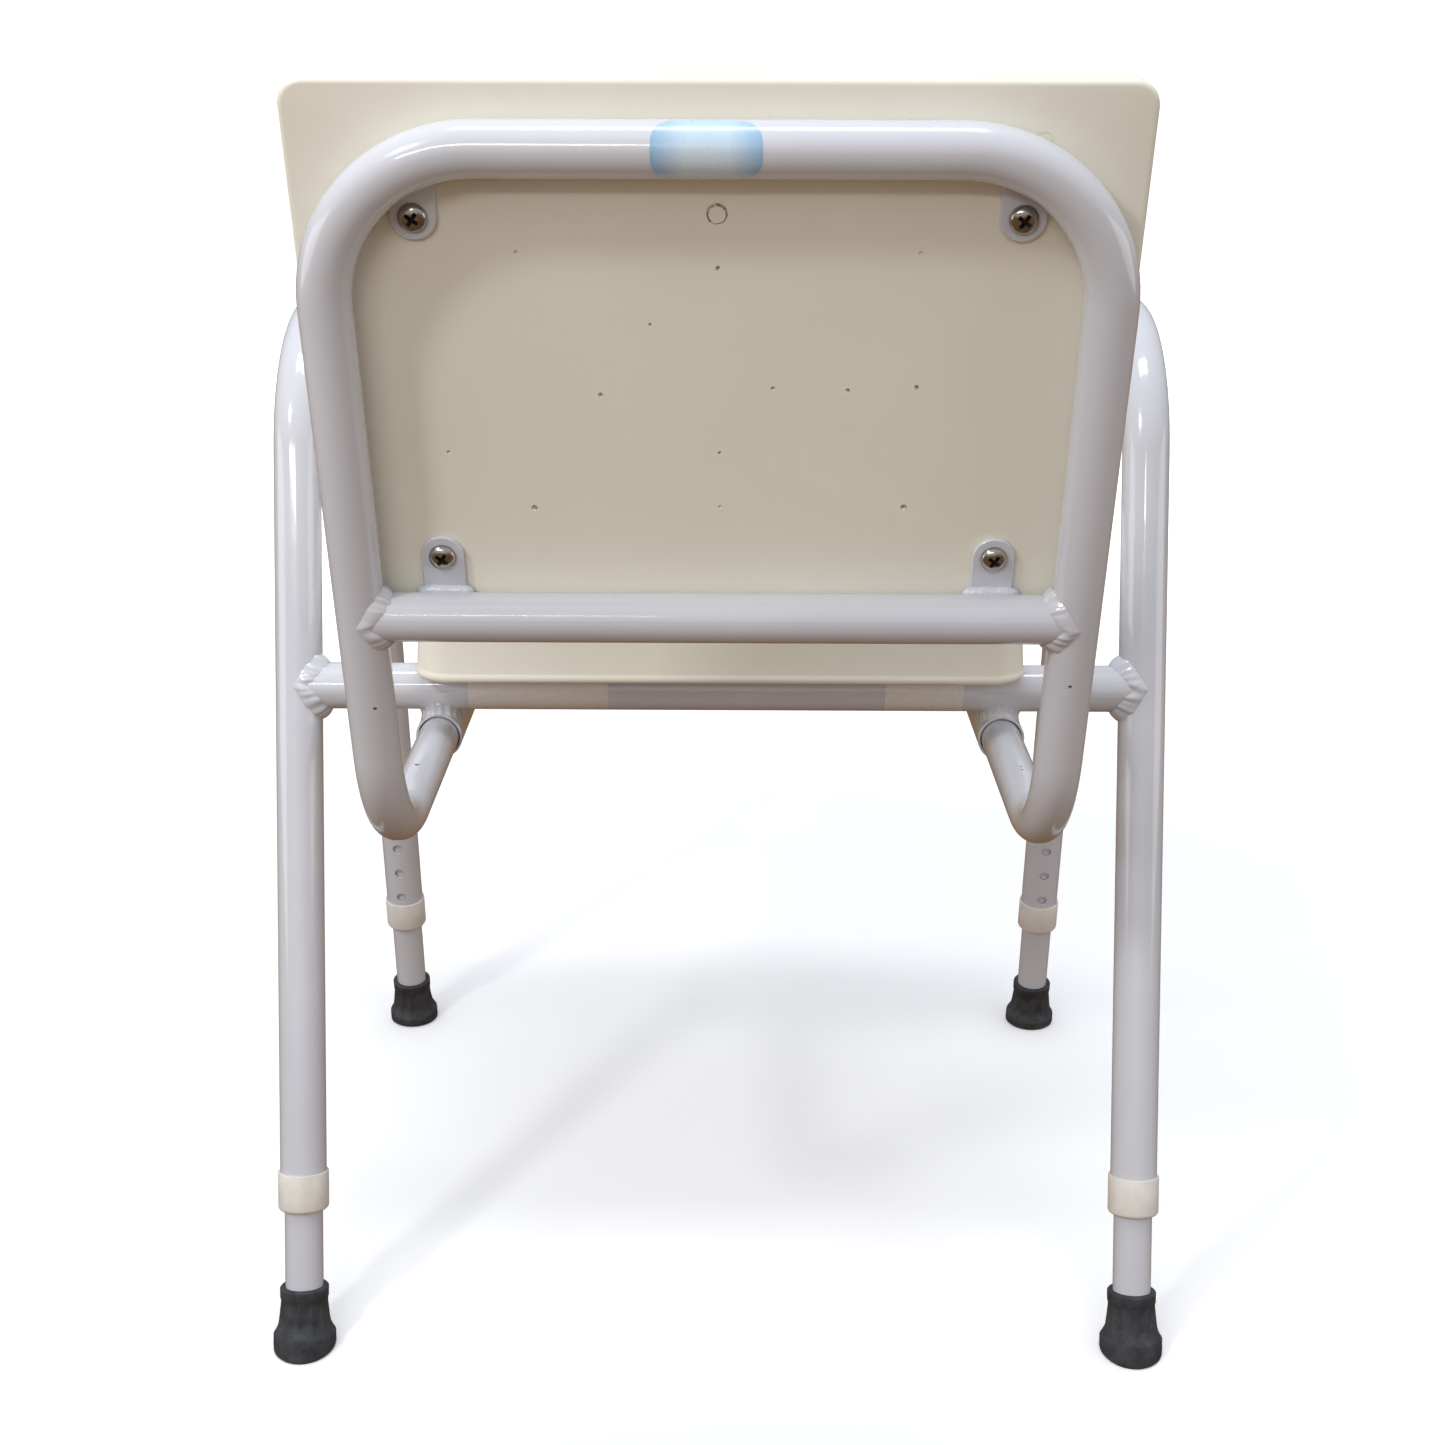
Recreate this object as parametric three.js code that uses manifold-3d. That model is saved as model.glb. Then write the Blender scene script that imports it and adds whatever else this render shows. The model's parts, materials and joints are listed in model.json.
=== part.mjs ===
// Shower stool with arms, four height-adjustable legs and a plug-in backrest.
// Millimetres, +Z up. The origin is on the floor under the middle of the stool.
// The sitter faces -Y, so the backrest is towards +Y and the sitter's left is +X.
import * as THREE from 'three';
import { mergeVertices } from 'three/addons/utils/BufferGeometryUtils.js';
import Module from 'manifold-3d';

const wasm = await Module();
wasm.setup();

// ---- Driving dimensions -------------------------------------------------
const GAP = 0.3; // clearance between pieces that touch or are welded
const ROUND_SIDES = 16; // facets around a tube
const BORE_SIDES = 8; // facets around a small hole
const BEND_STEPS = 5; // facets along a bend

const FRAME_OD = 31.75; // side frames, crossbars and socket rails
const FRAME_WALL = 1.75;
const SIDE_X = 289; // middle plane of each side frame
const REAR_FOOT_Y = 153.4; // where the rear leg axis meets the floor
const FOOT_SPAN = 486; // front foot to rear foot on the floor
const REAR_LEAN = THREE.MathUtils.degToRad(15.8);
const FRONT_LEAN = THREE.MathUtils.degToRad(6.8);
const ARM_Z = 678; // axis of the armrest
const ARM_BEND = 107;
const SEAT_BAR_Z = 445.5; // axis of both crossbars

const LEG_OD = 26.2; // inner height-adjusting tube
const LEG_WALL = 1.8;
const LEG_TOP = 268; // distances along a leg axis from the floor
const LEG_BASE = 12;
const FRAME_END = 101.5;
const COLLAR_BASE = 98;
const FRONT_RAISE = 6.5; // the front legs' outer tubes end this much higher
const COLLAR_LENGTH = 27;
const COLLAR_OD = 34.8;
const FOOT_HEIGHT = 43.5;
const FOOT_RADIUS = 21.6;

const HOLE_RADIUS = 4.2;
const HOLE_PITCH = 25;
const HOLES_BELOW = 3; // spare holes under the one in use
const HOLES_ABOVE = 2;
const BUTTON_AT = 208.5; // along the leg axis
const BUTTON_RADIUS = 3.8;
const BUTTON_PROUD = 2.8; // beyond the outer wall

const BACK_OD = 27;
const BACK_WALL = 2;
const BACK_X = 192.5;
const RECLINE = THREE.MathUtils.degToRad(13.9);
const BACK_REF_Z = 500; // height where the setback is taken
const BACK_SETBACK = 236; // upright axis behind the rear crossbar
const BACK_TOP_Z = 812;
const BACK_CROSS_Z = 567;
const BACK_CORNER = 78;
const SOCKET_BEND = 88;
const PLUG_INSERT = 130; // length of backrest tube inside each socket
const MOUTH_OVERHANG = 13.6; // socket mouth behind the crossbar axis
const PLUG_BUTTON_INSET = 70; // button in from the socket mouth

const PANEL = { width: 415, low: 558, high: 843, thickness: 22, corner: 13, round: 4 };
const SEAT = { width: 409, thickness: 33, overhang: 47, corner: 27, round: 5 };
const SCREW_HEAD = 7.3;
const SCREW_SHANK = 3;
const BACK_SCREW_X = 147.5;
const TOP_SCREW_Z = 781.4;
const LOW_SCREW_Z = 602;
const TAB_PLATE = 3;
const BACK_TAB_HALF = 11.5;
const BACK_TAB_UP = 18; // from the screw to the tab's root
const BACK_TAB_DOWN = 27;
const SEAT_TAB = { width: 30, reach: 34, x: 120 };
const DRAIN_RADIUS = 5;
const DRAIN_PITCH = 70;

// ---- Places worked out from them ----------------------------------------
const FRAME_R = FRAME_OD / 2;
const LEG_R = LEG_OD / 2;
const BACK_R = BACK_OD / 2;
const FRONT_FOOT_Y = REAR_FOOT_Y - FOOT_SPAN;
const REAR_BAR_Y = REAR_FOOT_Y - SEAT_BAR_Z * Math.tan(REAR_LEAN);
const FRONT_BAR_Y = FRONT_FOOT_Y + SEAT_BAR_Z * Math.tan(FRONT_LEAN);
const RAIL_Z = SEAT_BAR_Z - FRAME_OD - GAP;
const MOUTH_Y = REAR_BAR_Y + MOUTH_OVERHANG;
const RAIL_FRONT_Y = FRONT_BAR_Y - MOUTH_OVERHANG;
const BACK_REF_Y = REAR_BAR_Y + BACK_SETBACK;
const SEAT_BASE_Z = SEAT_BAR_Z + FRAME_R + GAP;
const SIDES = [['left', 1], ['right', -1]];
const ENDS = [['rear', 1], ['front', -1]];

const POWDER_COAT = { color: 0xe9e9f1, roughness: 0.28, metalness: 0.0 };
const BOARD = { color: 0xe6e0cf, roughness: 0.45, metalness: 0.0 };
const COLLAR_PLASTIC = { color: 0xd9d2c8, roughness: 0.55, metalness: 0.0 };
const RUBBER = { color: 0x2f3033, roughness: 0.8, metalness: 0.0 };
const STEEL = { color: 0xb9b7b2, roughness: 0.25, metalness: 1.0 };

// ---- Solids ---------------------------------------------------------------
const at = (x, y, z) => new THREE.Matrix4().makeTranslation(x, y, z);
const turn = (axis, angle) => new THREE.Matrix4().makeRotationAxis(axis, angle);
const X_AXIS = new THREE.Vector3(1, 0, 0);
const vec = (x, y, z) => new THREE.Vector3(x, y, z);

function solidOf(geometry, matrix = new THREE.Matrix4()) {
  const bare = geometry.clone();
  bare.deleteAttribute('normal');
  bare.deleteAttribute('uv');
  bare.applyMatrix4(matrix);
  const merged = mergeVertices(bare, 1e-4);
  return new wasm.Manifold(new wasm.Mesh({
    numProp: 3,
    vertProperties: new Float32Array(merged.attributes.position.array),
    triVerts: new Uint32Array(merged.index.array),
  }));
}

function geometryOf(solid) {
  const { vertProperties, triVerts } = solid.getMesh();
  const geometry = new THREE.BufferGeometry();
  geometry.setAttribute('position', new THREE.BufferAttribute(vertProperties, 3));
  geometry.setIndex(new THREE.BufferAttribute(triVerts, 1));
  geometry.computeVertexNormals();
  return geometry;
}

function place(parent, name, geometry, finish) {
  const mesh = new THREE.Mesh(geometry, new THREE.MeshStandardMaterial(finish));
  mesh.name = name;
  parent.add(mesh);
  return mesh;
}

// A solid rod between two points, for bores, saddle cuts and clearances.
function rod(from, to, radius, sides = ROUND_SIDES) {
  const along = to.clone().sub(from);
  const geometry = new THREE.CylinderGeometry(radius, radius, along.length(), sides);
  const spin = new THREE.Quaternion().setFromUnitVectors(vec(0, 1, 0), along.clone().normalize());
  const middle = from.clone().add(to).multiplyScalar(0.5);
  return solidOf(geometry, new THREE.Matrix4().compose(middle, spin, vec(1, 1, 1)));
}

// Holds the cross-sections of a bent tube, so straight runs need no steps.
class StationPath extends THREE.Curve {
  constructor(stations) {
    super();
    this.stations = stations;
  }
  pick(t, field) {
    const place = Math.min(t, 1) * (this.stations.length - 1);
    const low = Math.min(Math.floor(place + 1e-9), this.stations.length - 2);
    const { [field]: a } = this.stations[low];
    const { [field]: b } = this.stations[low + 1];
    return a.clone().lerp(b, THREE.MathUtils.clamp(place - low, 0, 1));
  }
  getPoint(t) { return this.pick(t, 'point'); }
  getTangent(t) { return this.pick(t, 'tangent').normalize(); }
  getUtoTmapping(u) { return u; }
}

// Stations along straight runs joined by round bends of the given radii.
function bentPath(corners, radii) {
  const stations = [];
  const heading = (i) => corners[i + 1].clone().sub(corners[i]).normalize();
  stations.push({ point: corners[0].clone(), tangent: heading(0) });
  radii.forEach((radius, i) => {
    const [before, after, corner] = [heading(i), heading(i + 1), corners[i + 1]];
    const angle = before.angleTo(after);
    const start = corner.clone().addScaledVector(before, -radius * Math.tan(angle / 2));
    const inward = after.clone().addScaledVector(before, -before.dot(after)).normalize();
    const centre = start.clone().addScaledVector(inward, radius);
    for (let step = 0; step <= BEND_STEPS; step += 1) {
      const a = (angle * step) / BEND_STEPS;
      stations.push({
        point: centre.clone()
          .addScaledVector(inward, -radius * Math.cos(a))
          .addScaledVector(before, radius * Math.sin(a)),
        tangent: before.clone().multiplyScalar(Math.cos(a)).addScaledVector(inward, Math.sin(a)),
      });
    }
  });
  const last = corners.length - 1;
  stations.push({ point: corners[last].clone(), tangent: heading(last - 1) });
  return new StationPath(stations);
}

function ringShape(outer, inner, sides = ROUND_SIDES) {
  const corner = (radius, i) => {
    const a = (2 * Math.PI * i) / sides;
    return new THREE.Vector2(radius * Math.cos(a), radius * Math.sin(a));
  };
  const indices = [...Array(sides).keys()];
  const shape = new THREE.Shape(indices.map((i) => corner(outer, i)));
  if (inner > 0) shape.holes.push(new THREE.Path(indices.map((i) => corner(inner, i))));
  return shape;
}

function tube(path, outer, wall) {
  return new THREE.ExtrudeGeometry(ringShape(outer, outer - wall), {
    steps: path.stations.length - 1, extrudePath: path, bevelEnabled: false,
  });
}

const straightTube = (from, to, outer, wall) => tube(bentPath([from, to], []), outer, wall);

function roundedPlate(width, height, corner) {
  const [w, h] = [width / 2, height / 2];
  const shape = new THREE.Shape();
  shape.absarc(w - corner, h - corner, corner, 0, Math.PI / 2);
  shape.absarc(-w + corner, h - corner, corner, Math.PI / 2, Math.PI);
  shape.absarc(-w + corner, -h + corner, corner, Math.PI, 1.5 * Math.PI);
  shape.absarc(w - corner, -h + corner, corner, 1.5 * Math.PI, 2 * Math.PI);
  return shape;
}

// A board lying in XY with rounded edges, its underside at z = 0.
function board(width, height, thickness, corner, round) {
  const shape = roundedPlate(width - 2 * round, height - 2 * round, corner - round);
  const geometry = new THREE.ExtrudeGeometry(shape, {
    depth: thickness - 2 * round, curveSegments: 5, steps: 1,
    bevelEnabled: true, bevelThickness: round, bevelSize: round, bevelSegments: 2,
  });
  return geometry.translate(0, 0, round);
}

function lathe(outline, sides = ROUND_SIDES) {
  const geometry = new THREE.LatheGeometry(outline.map(([r, z]) => new THREE.Vector2(r, z)), sides);
  return geometry.rotateX(Math.PI / 2);
}

// ---- Side frames ------------------------------------------------------------
// Each leg has its own group: local Z runs up the leg axis from the floor.
function legGroup(side, end) {
  const group = new THREE.Group();
  const rear = end > 0;
  group.position.set(side * SIDE_X, rear ? REAR_FOOT_Y : FRONT_FOOT_Y, 0);
  group.rotation.x = rear ? REAR_LEAN : -FRONT_LEAN;
  group.updateMatrixWorld(true);
  return group;
}

const legPoint = (side, end, distance) => vec(0, 0, distance).applyMatrix4(legGroup(side, end).matrixWorld);

function legAxisRod(side, end, radius) {
  return rod(legPoint(side, end, COLLAR_BASE), legPoint(side, end, 600), radius);
}

// Front legs have their holes and buttons facing back, rear legs facing forward.
const buttonSign = (end) => -end;

function buttonHoles(side, end, places, depth) {
  const group = legGroup(side, end);
  return places.map((z) => {
    const outward = vec(0, buttonSign(end) * depth, z).applyMatrix4(group.matrixWorld);
    const middle = vec(0, 0, z).applyMatrix4(group.matrixWorld);
    return rod(middle, outward, HOLE_RADIUS, BORE_SIDES);
  });
}

const raise = (end) => (end > 0 ? 0 : FRONT_RAISE);
const buttonAt = (end) => BUTTON_AT + raise(end);

function holePlaces(end) {
  const places = [];
  for (let i = -HOLES_BELOW; i <= HOLES_ABOVE; i += 1) places.push(buttonAt(end) + i * HOLE_PITCH);
  return places;
}

function sideFrame(side) {
  const apex = (end) => legPoint(side, end, ARM_Z / Math.cos(end > 0 ? REAR_LEAN : FRONT_LEAN));
  const foot = (end) => legPoint(side, end, FRAME_END + raise(end));
  const corners = [foot(1), apex(1), apex(-1), foot(-1)];
  let solid = solidOf(tube(bentPath(corners, [ARM_BEND, ARM_BEND]), FRAME_R, FRAME_WALL));
  for (const [, end] of ENDS) {
    for (const hole of buttonHoles(side, end, holePlaces(end), FRAME_R + 4)) solid = solid.subtract(hole);
  }
  return geometryOf(solid);
}

const barY = (end) => (end > 0 ? REAR_BAR_Y : FRONT_BAR_Y);
const barEnd = (side, end) => vec(side * SIDE_X, barY(end), SEAT_BAR_Z);

function crossbar(end) {
  let solid = solidOf(straightTube(barEnd(-1, end), barEnd(1, end), FRAME_R, FRAME_WALL));
  for (const [, side] of SIDES) solid = solid.subtract(legAxisRod(side, end, FRAME_R + GAP));
  return geometryOf(solid);
}

function socketRail(side) {
  const solid = solidOf(straightTube(vec(side * BACK_X, RAIL_FRONT_Y, RAIL_Z),
    vec(side * BACK_X, MOUTH_Y, RAIL_Z), FRAME_R, FRAME_WALL));
  const buttonY = MOUTH_Y - PLUG_BUTTON_INSET;
  const bore = rod(vec(side * BACK_X, buttonY, RAIL_Z), vec(side * BACK_X, buttonY, RAIL_Z - 25),
    HOLE_RADIUS, BORE_SIDES);
  return geometryOf(solid.subtract(bore));
}

function collar(end) {
  const [outer, hold, neck] = [COLLAR_OD / 2, FRAME_R + GAP, LEG_R + GAP];
  const lip = FRAME_END - COLLAR_BASE - GAP;
  return lathe([
    [neck, 0], [outer - 2, 0], [outer, 2], [outer, COLLAR_LENGTH - 1], [outer - 0.7, COLLAR_LENGTH],
    [hold, COLLAR_LENGTH], [hold, lip], [neck, lip], [neck, 0],
  ]).translate(0, 0, COLLAR_BASE + raise(end));
}

// ---- Height-adjusting legs ------------------------------------------------------
function legTube(side, end) {
  const group = legGroup(side, end);
  let solid = solidOf(straightTube(vec(0, 0, LEG_BASE), vec(0, 0, LEG_TOP), LEG_R, LEG_WALL));
  for (const hole of buttonHoles(side, end, [buttonAt(end)], FRAME_R)) {
    solid = solid.subtract(hole.transform(group.matrixWorld.clone().invert().toArray()));
  }
  return geometryOf(solid);
}

// A flared rubber ferrule with a blind bore, trimmed level with the floor.
function rubberFoot(end) {
  const bore = LEG_R + GAP;
  const skirt = 8;
  const outline = [
    [0, -skirt], [FOOT_RADIUS - 1, -skirt], [FOOT_RADIUS, 3], [FOOT_RADIUS, 11], [FOOT_RADIUS - 1.6, 13],
    [bore + 3.2, FOOT_HEIGHT - 2], [bore + 2.4, FOOT_HEIGHT], [bore, FOOT_HEIGHT],
    [bore, LEG_BASE - 3], [0, LEG_BASE - 3],
  ];
  const lean = end > 0 ? REAR_LEAN : -FRONT_LEAN;
  const floor = new THREE.BoxGeometry(100, 100, 60);
  const below = new THREE.Matrix4().multiplyMatrices(turn(X_AXIS, -lean), at(0, 0, -30));
  return geometryOf(solidOf(lathe(outline)).subtract(solidOf(floor, below)));
}

function footWasher() {
  return lathe([[3, 0], [LEG_R - 1, 0], [LEG_R - 1, 1.6], [3, 1.6], [3, 0]])
    .translate(0, 0, LEG_BASE - 2.5);
}

// Button seen along its own +Z: a shank with a domed end.
function snapButton(outerRadius) {
  const base = 7.5;
  const tip = outerRadius + BUTTON_PROUD;
  return lathe([
    [0, base], [BUTTON_RADIUS, base], [BUTTON_RADIUS, tip - 1.5], [BUTTON_RADIUS - 1.2, tip - 0.3],
    [0, tip],
  ], 12);
}

// V-shaped leaf under a button: X points at the button and Y runs along the tube.
function buttonSpring(boreRadius) {
  const [thick, width, reach, fold] = [0.8, 7, 7, -34];
  const far = -(boreRadius - 1.6);
  const near = 7.5 - GAP;
  const outline = new THREE.Shape([
    [near, reach], [near, 0], [thick, fold], [-thick, fold], [far, reach],
    [far + thick, reach], [0, fold + 4], [near - thick, 0], [near - thick, reach],
  ].map(([x, y]) => new THREE.Vector2(x, y)));
  return new THREE.ExtrudeGeometry(outline, { depth: width, bevelEnabled: false })
    .translate(0, 0, -width / 2);
}

function aim(mesh, towards, along) {
  const across = towards.clone().cross(along);
  mesh.quaternion.setFromRotationMatrix(new THREE.Matrix4().makeBasis(towards, along, across));
}

// ---- Seat -------------------------------------------------------------------
const seatTabY = (end) => barY(end) - end * (SEAT_TAB.reach - 10);

function seatBoard() {
  const depth = REAR_BAR_Y - FRONT_BAR_Y + 2 * SEAT.overhang;
  const middle = (REAR_BAR_Y + FRONT_BAR_Y) / 2;
  let solid = solidOf(board(SEAT.width, depth, SEAT.thickness, SEAT.corner, SEAT.round),
    at(0, middle, SEAT_BASE_Z));
  for (const [dx, dy] of [[0, 0], [1, 1], [1, -1], [-1, 1], [-1, -1]]) {
    const [x, y] = [dx * DRAIN_PITCH, middle + dy * DRAIN_PITCH];
    solid = solid.subtract(rod(vec(x, y, SEAT_BASE_Z - 5), vec(x, y, SEAT_BASE_Z + 60), DRAIN_RADIUS, BORE_SIDES));
  }
  for (const [, side] of SIDES) {
    for (const [, end] of ENDS) {
      const [x, y] = [side * SEAT_TAB.x, seatTabY(end)];
      solid = solid.subtract(rod(vec(x, y, SEAT_BASE_Z - 5), vec(x, y, SEAT_BASE_Z + 16),
        SCREW_SHANK + GAP, BORE_SIDES));
    }
  }
  return geometryOf(solid);
}

function seatTab(side, end) {
  const { width, reach, x } = SEAT_TAB;
  const plate = new THREE.BoxGeometry(width, reach, TAB_PLATE);
  const z = SEAT_BASE_Z - GAP - TAB_PLATE / 2;
  let solid = solidOf(plate, at(side * x, barY(end) - end * (reach / 2), z));
  solid = solid.subtract(rod(barEnd(-1, end), barEnd(1, end), FRAME_R + GAP));
  const bore = rod(vec(side * x, seatTabY(end), z - 9), vec(side * x, seatTabY(end), z + 9),
    SCREW_SHANK + GAP, BORE_SIDES);
  return geometryOf(solid.subtract(bore));
}

// Pan-head screw along +Z, its head resting on z = 0 and facing -Z.
function panScrew(length) {
  return lathe([
    [0, -4.2], [SCREW_HEAD - 2, -3.4], [SCREW_HEAD, 0], [SCREW_SHANK, 0],
    [SCREW_SHANK, length - 1.5], [0, length],
  ], 12);
}

// ---- Backrest ---------------------------------------------------------------
const backY = (z) => BACK_REF_Y + (z - BACK_REF_Z) * Math.tan(RECLINE);

function backTube() {
  const half = (side) => [
    vec(side * BACK_X, MOUTH_Y - PLUG_INSERT, RAIL_Z),
    vec(side * BACK_X, backY(RAIL_Z), RAIL_Z),
    vec(side * BACK_X, backY(BACK_TOP_Z), BACK_TOP_Z),
  ];
  const corners = [...half(1), ...half(-1).reverse()];
  const bends = [SOCKET_BEND, BACK_CORNER, BACK_CORNER, SOCKET_BEND];
  let solid = solidOf(tube(bentPath(corners, bends), BACK_R, BACK_WALL));
  const buttonY = MOUTH_Y - PLUG_BUTTON_INSET;
  for (const [, side] of SIDES) {
    solid = solid.subtract(rod(vec(side * BACK_X, buttonY, RAIL_Z),
      vec(side * BACK_X, buttonY, RAIL_Z - 25), HOLE_RADIUS, BORE_SIDES));
  }
  return geometryOf(solid);
}

// Local frame of the reclined backrest: X across, Y to the rear, Z up the uprights.
function backGroup() {
  const group = new THREE.Group();
  group.position.set(0, BACK_REF_Y, BACK_REF_Z);
  group.rotation.x = -RECLINE;
  return group;
}

// Distance up the uprights of a height on their axes, and of one on the panel's rear face.
const upBack = (z) => (z - BACK_REF_Z) / Math.cos(RECLINE);
const upFace = (z) => upBack(z - (BACK_R + GAP) * Math.sin(RECLINE));

function upright(side, radius) {
  return rod(vec(side * BACK_X, 0, upBack(480)), vec(side * BACK_X, 0, upBack(760)), radius);
}

function backCrossTube() {
  const z = upBack(BACK_CROSS_Z);
  let solid = solidOf(straightTube(vec(-BACK_X, 0, z), vec(BACK_X, 0, z), BACK_R, BACK_WALL));
  for (const [, side] of SIDES) solid = solid.subtract(upright(side, BACK_R + GAP));
  return geometryOf(solid);
}

function backPanel() {
  const [low, high] = [upFace(PANEL.low), upFace(PANEL.high)];
  const flat = board(PANEL.width, high - low, PANEL.thickness, PANEL.corner, PANEL.round);
  const stand = new THREE.Matrix4().multiplyMatrices(
    at(0, -BACK_R - GAP, (low + high) / 2), turn(X_AXIS, Math.PI / 2));
  let solid = solidOf(flat, stand);
  for (const [, side] of SIDES) {
    for (const z of [upFace(TOP_SCREW_Z), upFace(LOW_SCREW_Z)]) {
      const x = side * BACK_SCREW_X;
      solid = solid.subtract(rod(vec(x, 0, z), vec(x, -BACK_R - 16, z), SCREW_SHANK + GAP, BORE_SIDES));
    }
  }
  return geometryOf(solid);
}

// A round-ended tab with its screw at the round end, standing on the cross tube
// or hanging from the rounded top corner.
function backTab(side, top) {
  const shape = new THREE.Shape();
  const root = top ? BACK_TAB_UP : -BACK_TAB_DOWN;
  shape.absarc(0, 0, BACK_TAB_HALF, 0, Math.PI, top);
  shape.lineTo(-BACK_TAB_HALF, root);
  shape.lineTo(BACK_TAB_HALF, root);
  const plate = new THREE.ExtrudeGeometry(shape, { depth: TAB_PLATE, curveSegments: 8, bevelEnabled: false });
  const z = upFace(top ? TOP_SCREW_Z : LOW_SCREW_Z);
  const stand = new THREE.Matrix4().multiplyMatrices(
    at(side * BACK_SCREW_X, -BACK_R + TAB_PLATE, z), turn(X_AXIS, Math.PI / 2));
  let solid = solidOf(plate, stand);
  const x = side * BACK_SCREW_X;
  solid = solid.subtract(rod(vec(x, 20, z), vec(x, -40, z), SCREW_SHANK + GAP, BORE_SIDES));
  const toBack = turn(X_AXIS, RECLINE).multiply(at(0, -BACK_REF_Y, -BACK_REF_Z));
  return geometryOf(solid.subtract(backLoop(BACK_R + GAP, toBack)).subtract(crossRod()));
}

// The upper loop of the back tube as a solid rod, to cut the tabs against.
function backLoop(radius, matrix) {
  const cornerOf = (side) => [
    vec(side * BACK_X, backY(600), 600), vec(side * BACK_X, backY(BACK_TOP_Z), BACK_TOP_Z)];
  const corners = [...cornerOf(1), ...cornerOf(-1).reverse()];
  const path = bentPath(corners, [BACK_CORNER, BACK_CORNER]);
  const geometry = new THREE.ExtrudeGeometry(ringShape(radius, 0), {
    steps: path.stations.length - 1, extrudePath: path, bevelEnabled: false,
  });
  return solidOf(geometry, matrix);
}

function crossRod() {
  const z = upBack(BACK_CROSS_Z);
  return rod(vec(-BACK_X, 0, z), vec(BACK_X, 0, z), BACK_R + GAP);
}

// ---- The stool ------------------------------------------------------------------
const stool = new THREE.Group();

for (const [sideName, side] of SIDES) {
  place(stool, `side_frame_${sideName}`, sideFrame(side), POWDER_COAT);
  place(stool, `socket_rail_${sideName}`, socketRail(side), POWDER_COAT);
}
place(stool, 'seat', seatBoard(), BOARD);

for (const [endName, end] of ENDS) {
  place(stool, `${endName}_crossbar`, crossbar(end), POWDER_COAT);
  for (const [sideName, side] of SIDES) {
    const corner = `${endName}_${sideName}`;
    place(stool, `seat_tab_${corner}`, seatTab(side, end), POWDER_COAT);
    place(stool, `seat_screw_${corner}`, panScrew(16), STEEL)
      .position.set(side * SEAT_TAB.x, seatTabY(end), SEAT_BASE_Z - TAB_PLATE - 2 * GAP);

    const leg = legGroup(side, end);
    stool.add(leg);
    place(leg, `leg_collar_${corner}`, collar(end), COLLAR_PLASTIC);
    place(leg, `leg_tube_${corner}`, legTube(side, end), POWDER_COAT);
    place(leg, `rubber_foot_${corner}`, rubberFoot(end), RUBBER);
    place(leg, `foot_washer_${corner}`, footWasher(), STEEL);

    const outward = buttonSign(end);
    const button = place(leg, `leg_button_${corner}`, snapButton(FRAME_R), STEEL);
    button.position.z = buttonAt(end);
    button.rotation.x = -outward * Math.PI / 2;
    const spring = place(leg, `leg_spring_${corner}`, buttonSpring(LEG_R - LEG_WALL), STEEL);
    spring.position.z = buttonAt(end);
    aim(spring, vec(0, outward, 0), vec(0, 0, 1));
  }
}

place(stool, 'back_tube', backTube(), POWDER_COAT);
const back = backGroup();
stool.add(back);
place(back, 'back_cross_tube', backCrossTube(), POWDER_COAT);
place(back, 'back_panel', backPanel(), BOARD);
for (const [sideName, side] of SIDES) {
  for (const [levelName, z, top] of [['upper', TOP_SCREW_Z, true], ['lower', LOW_SCREW_Z, false]]) {
    const corner = `${levelName}_${sideName}`;
    place(back, `back_tab_${corner}`, backTab(side, top), POWDER_COAT);
    const screw = place(back, `back_screw_${corner}`, panScrew(17), STEEL);
    screw.position.set(side * BACK_SCREW_X, -BACK_R + TAB_PLATE + GAP, upFace(z));
    screw.rotation.x = Math.PI / 2;
  }
  const button = place(stool, `back_button_${sideName}`, snapButton(FRAME_R), STEEL);
  button.position.set(side * BACK_X, MOUTH_Y - PLUG_BUTTON_INSET, RAIL_Z);
  button.rotation.x = Math.PI;
  const spring = place(stool, `back_spring_${sideName}`, buttonSpring(BACK_R - BACK_WALL), STEEL);
  spring.position.copy(button.position);
  aim(spring, vec(0, 0, -1), vec(0, 1, 0));
}

export default stool;
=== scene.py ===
"""Looks for the shower stool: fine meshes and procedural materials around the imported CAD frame."""

import json
import math

import bmesh
import bpy
from mathutils import Matrix, Vector, noise


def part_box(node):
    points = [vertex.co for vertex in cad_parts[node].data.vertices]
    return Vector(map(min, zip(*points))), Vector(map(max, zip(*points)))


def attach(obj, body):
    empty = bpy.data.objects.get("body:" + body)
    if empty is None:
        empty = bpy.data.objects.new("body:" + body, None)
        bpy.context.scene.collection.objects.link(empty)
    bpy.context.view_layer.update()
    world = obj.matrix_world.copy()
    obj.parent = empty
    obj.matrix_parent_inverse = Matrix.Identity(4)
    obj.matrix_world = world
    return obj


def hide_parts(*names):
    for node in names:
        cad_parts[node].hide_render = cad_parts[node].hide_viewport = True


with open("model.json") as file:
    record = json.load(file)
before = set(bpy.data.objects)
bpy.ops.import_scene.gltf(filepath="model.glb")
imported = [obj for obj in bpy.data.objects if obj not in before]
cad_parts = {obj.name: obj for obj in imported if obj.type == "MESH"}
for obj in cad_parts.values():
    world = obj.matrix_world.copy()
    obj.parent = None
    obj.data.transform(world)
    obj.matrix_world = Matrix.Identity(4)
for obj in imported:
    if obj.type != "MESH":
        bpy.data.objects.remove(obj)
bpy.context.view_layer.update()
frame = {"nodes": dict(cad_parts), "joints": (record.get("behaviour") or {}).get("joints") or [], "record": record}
RECORD = frame["record"]

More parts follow.
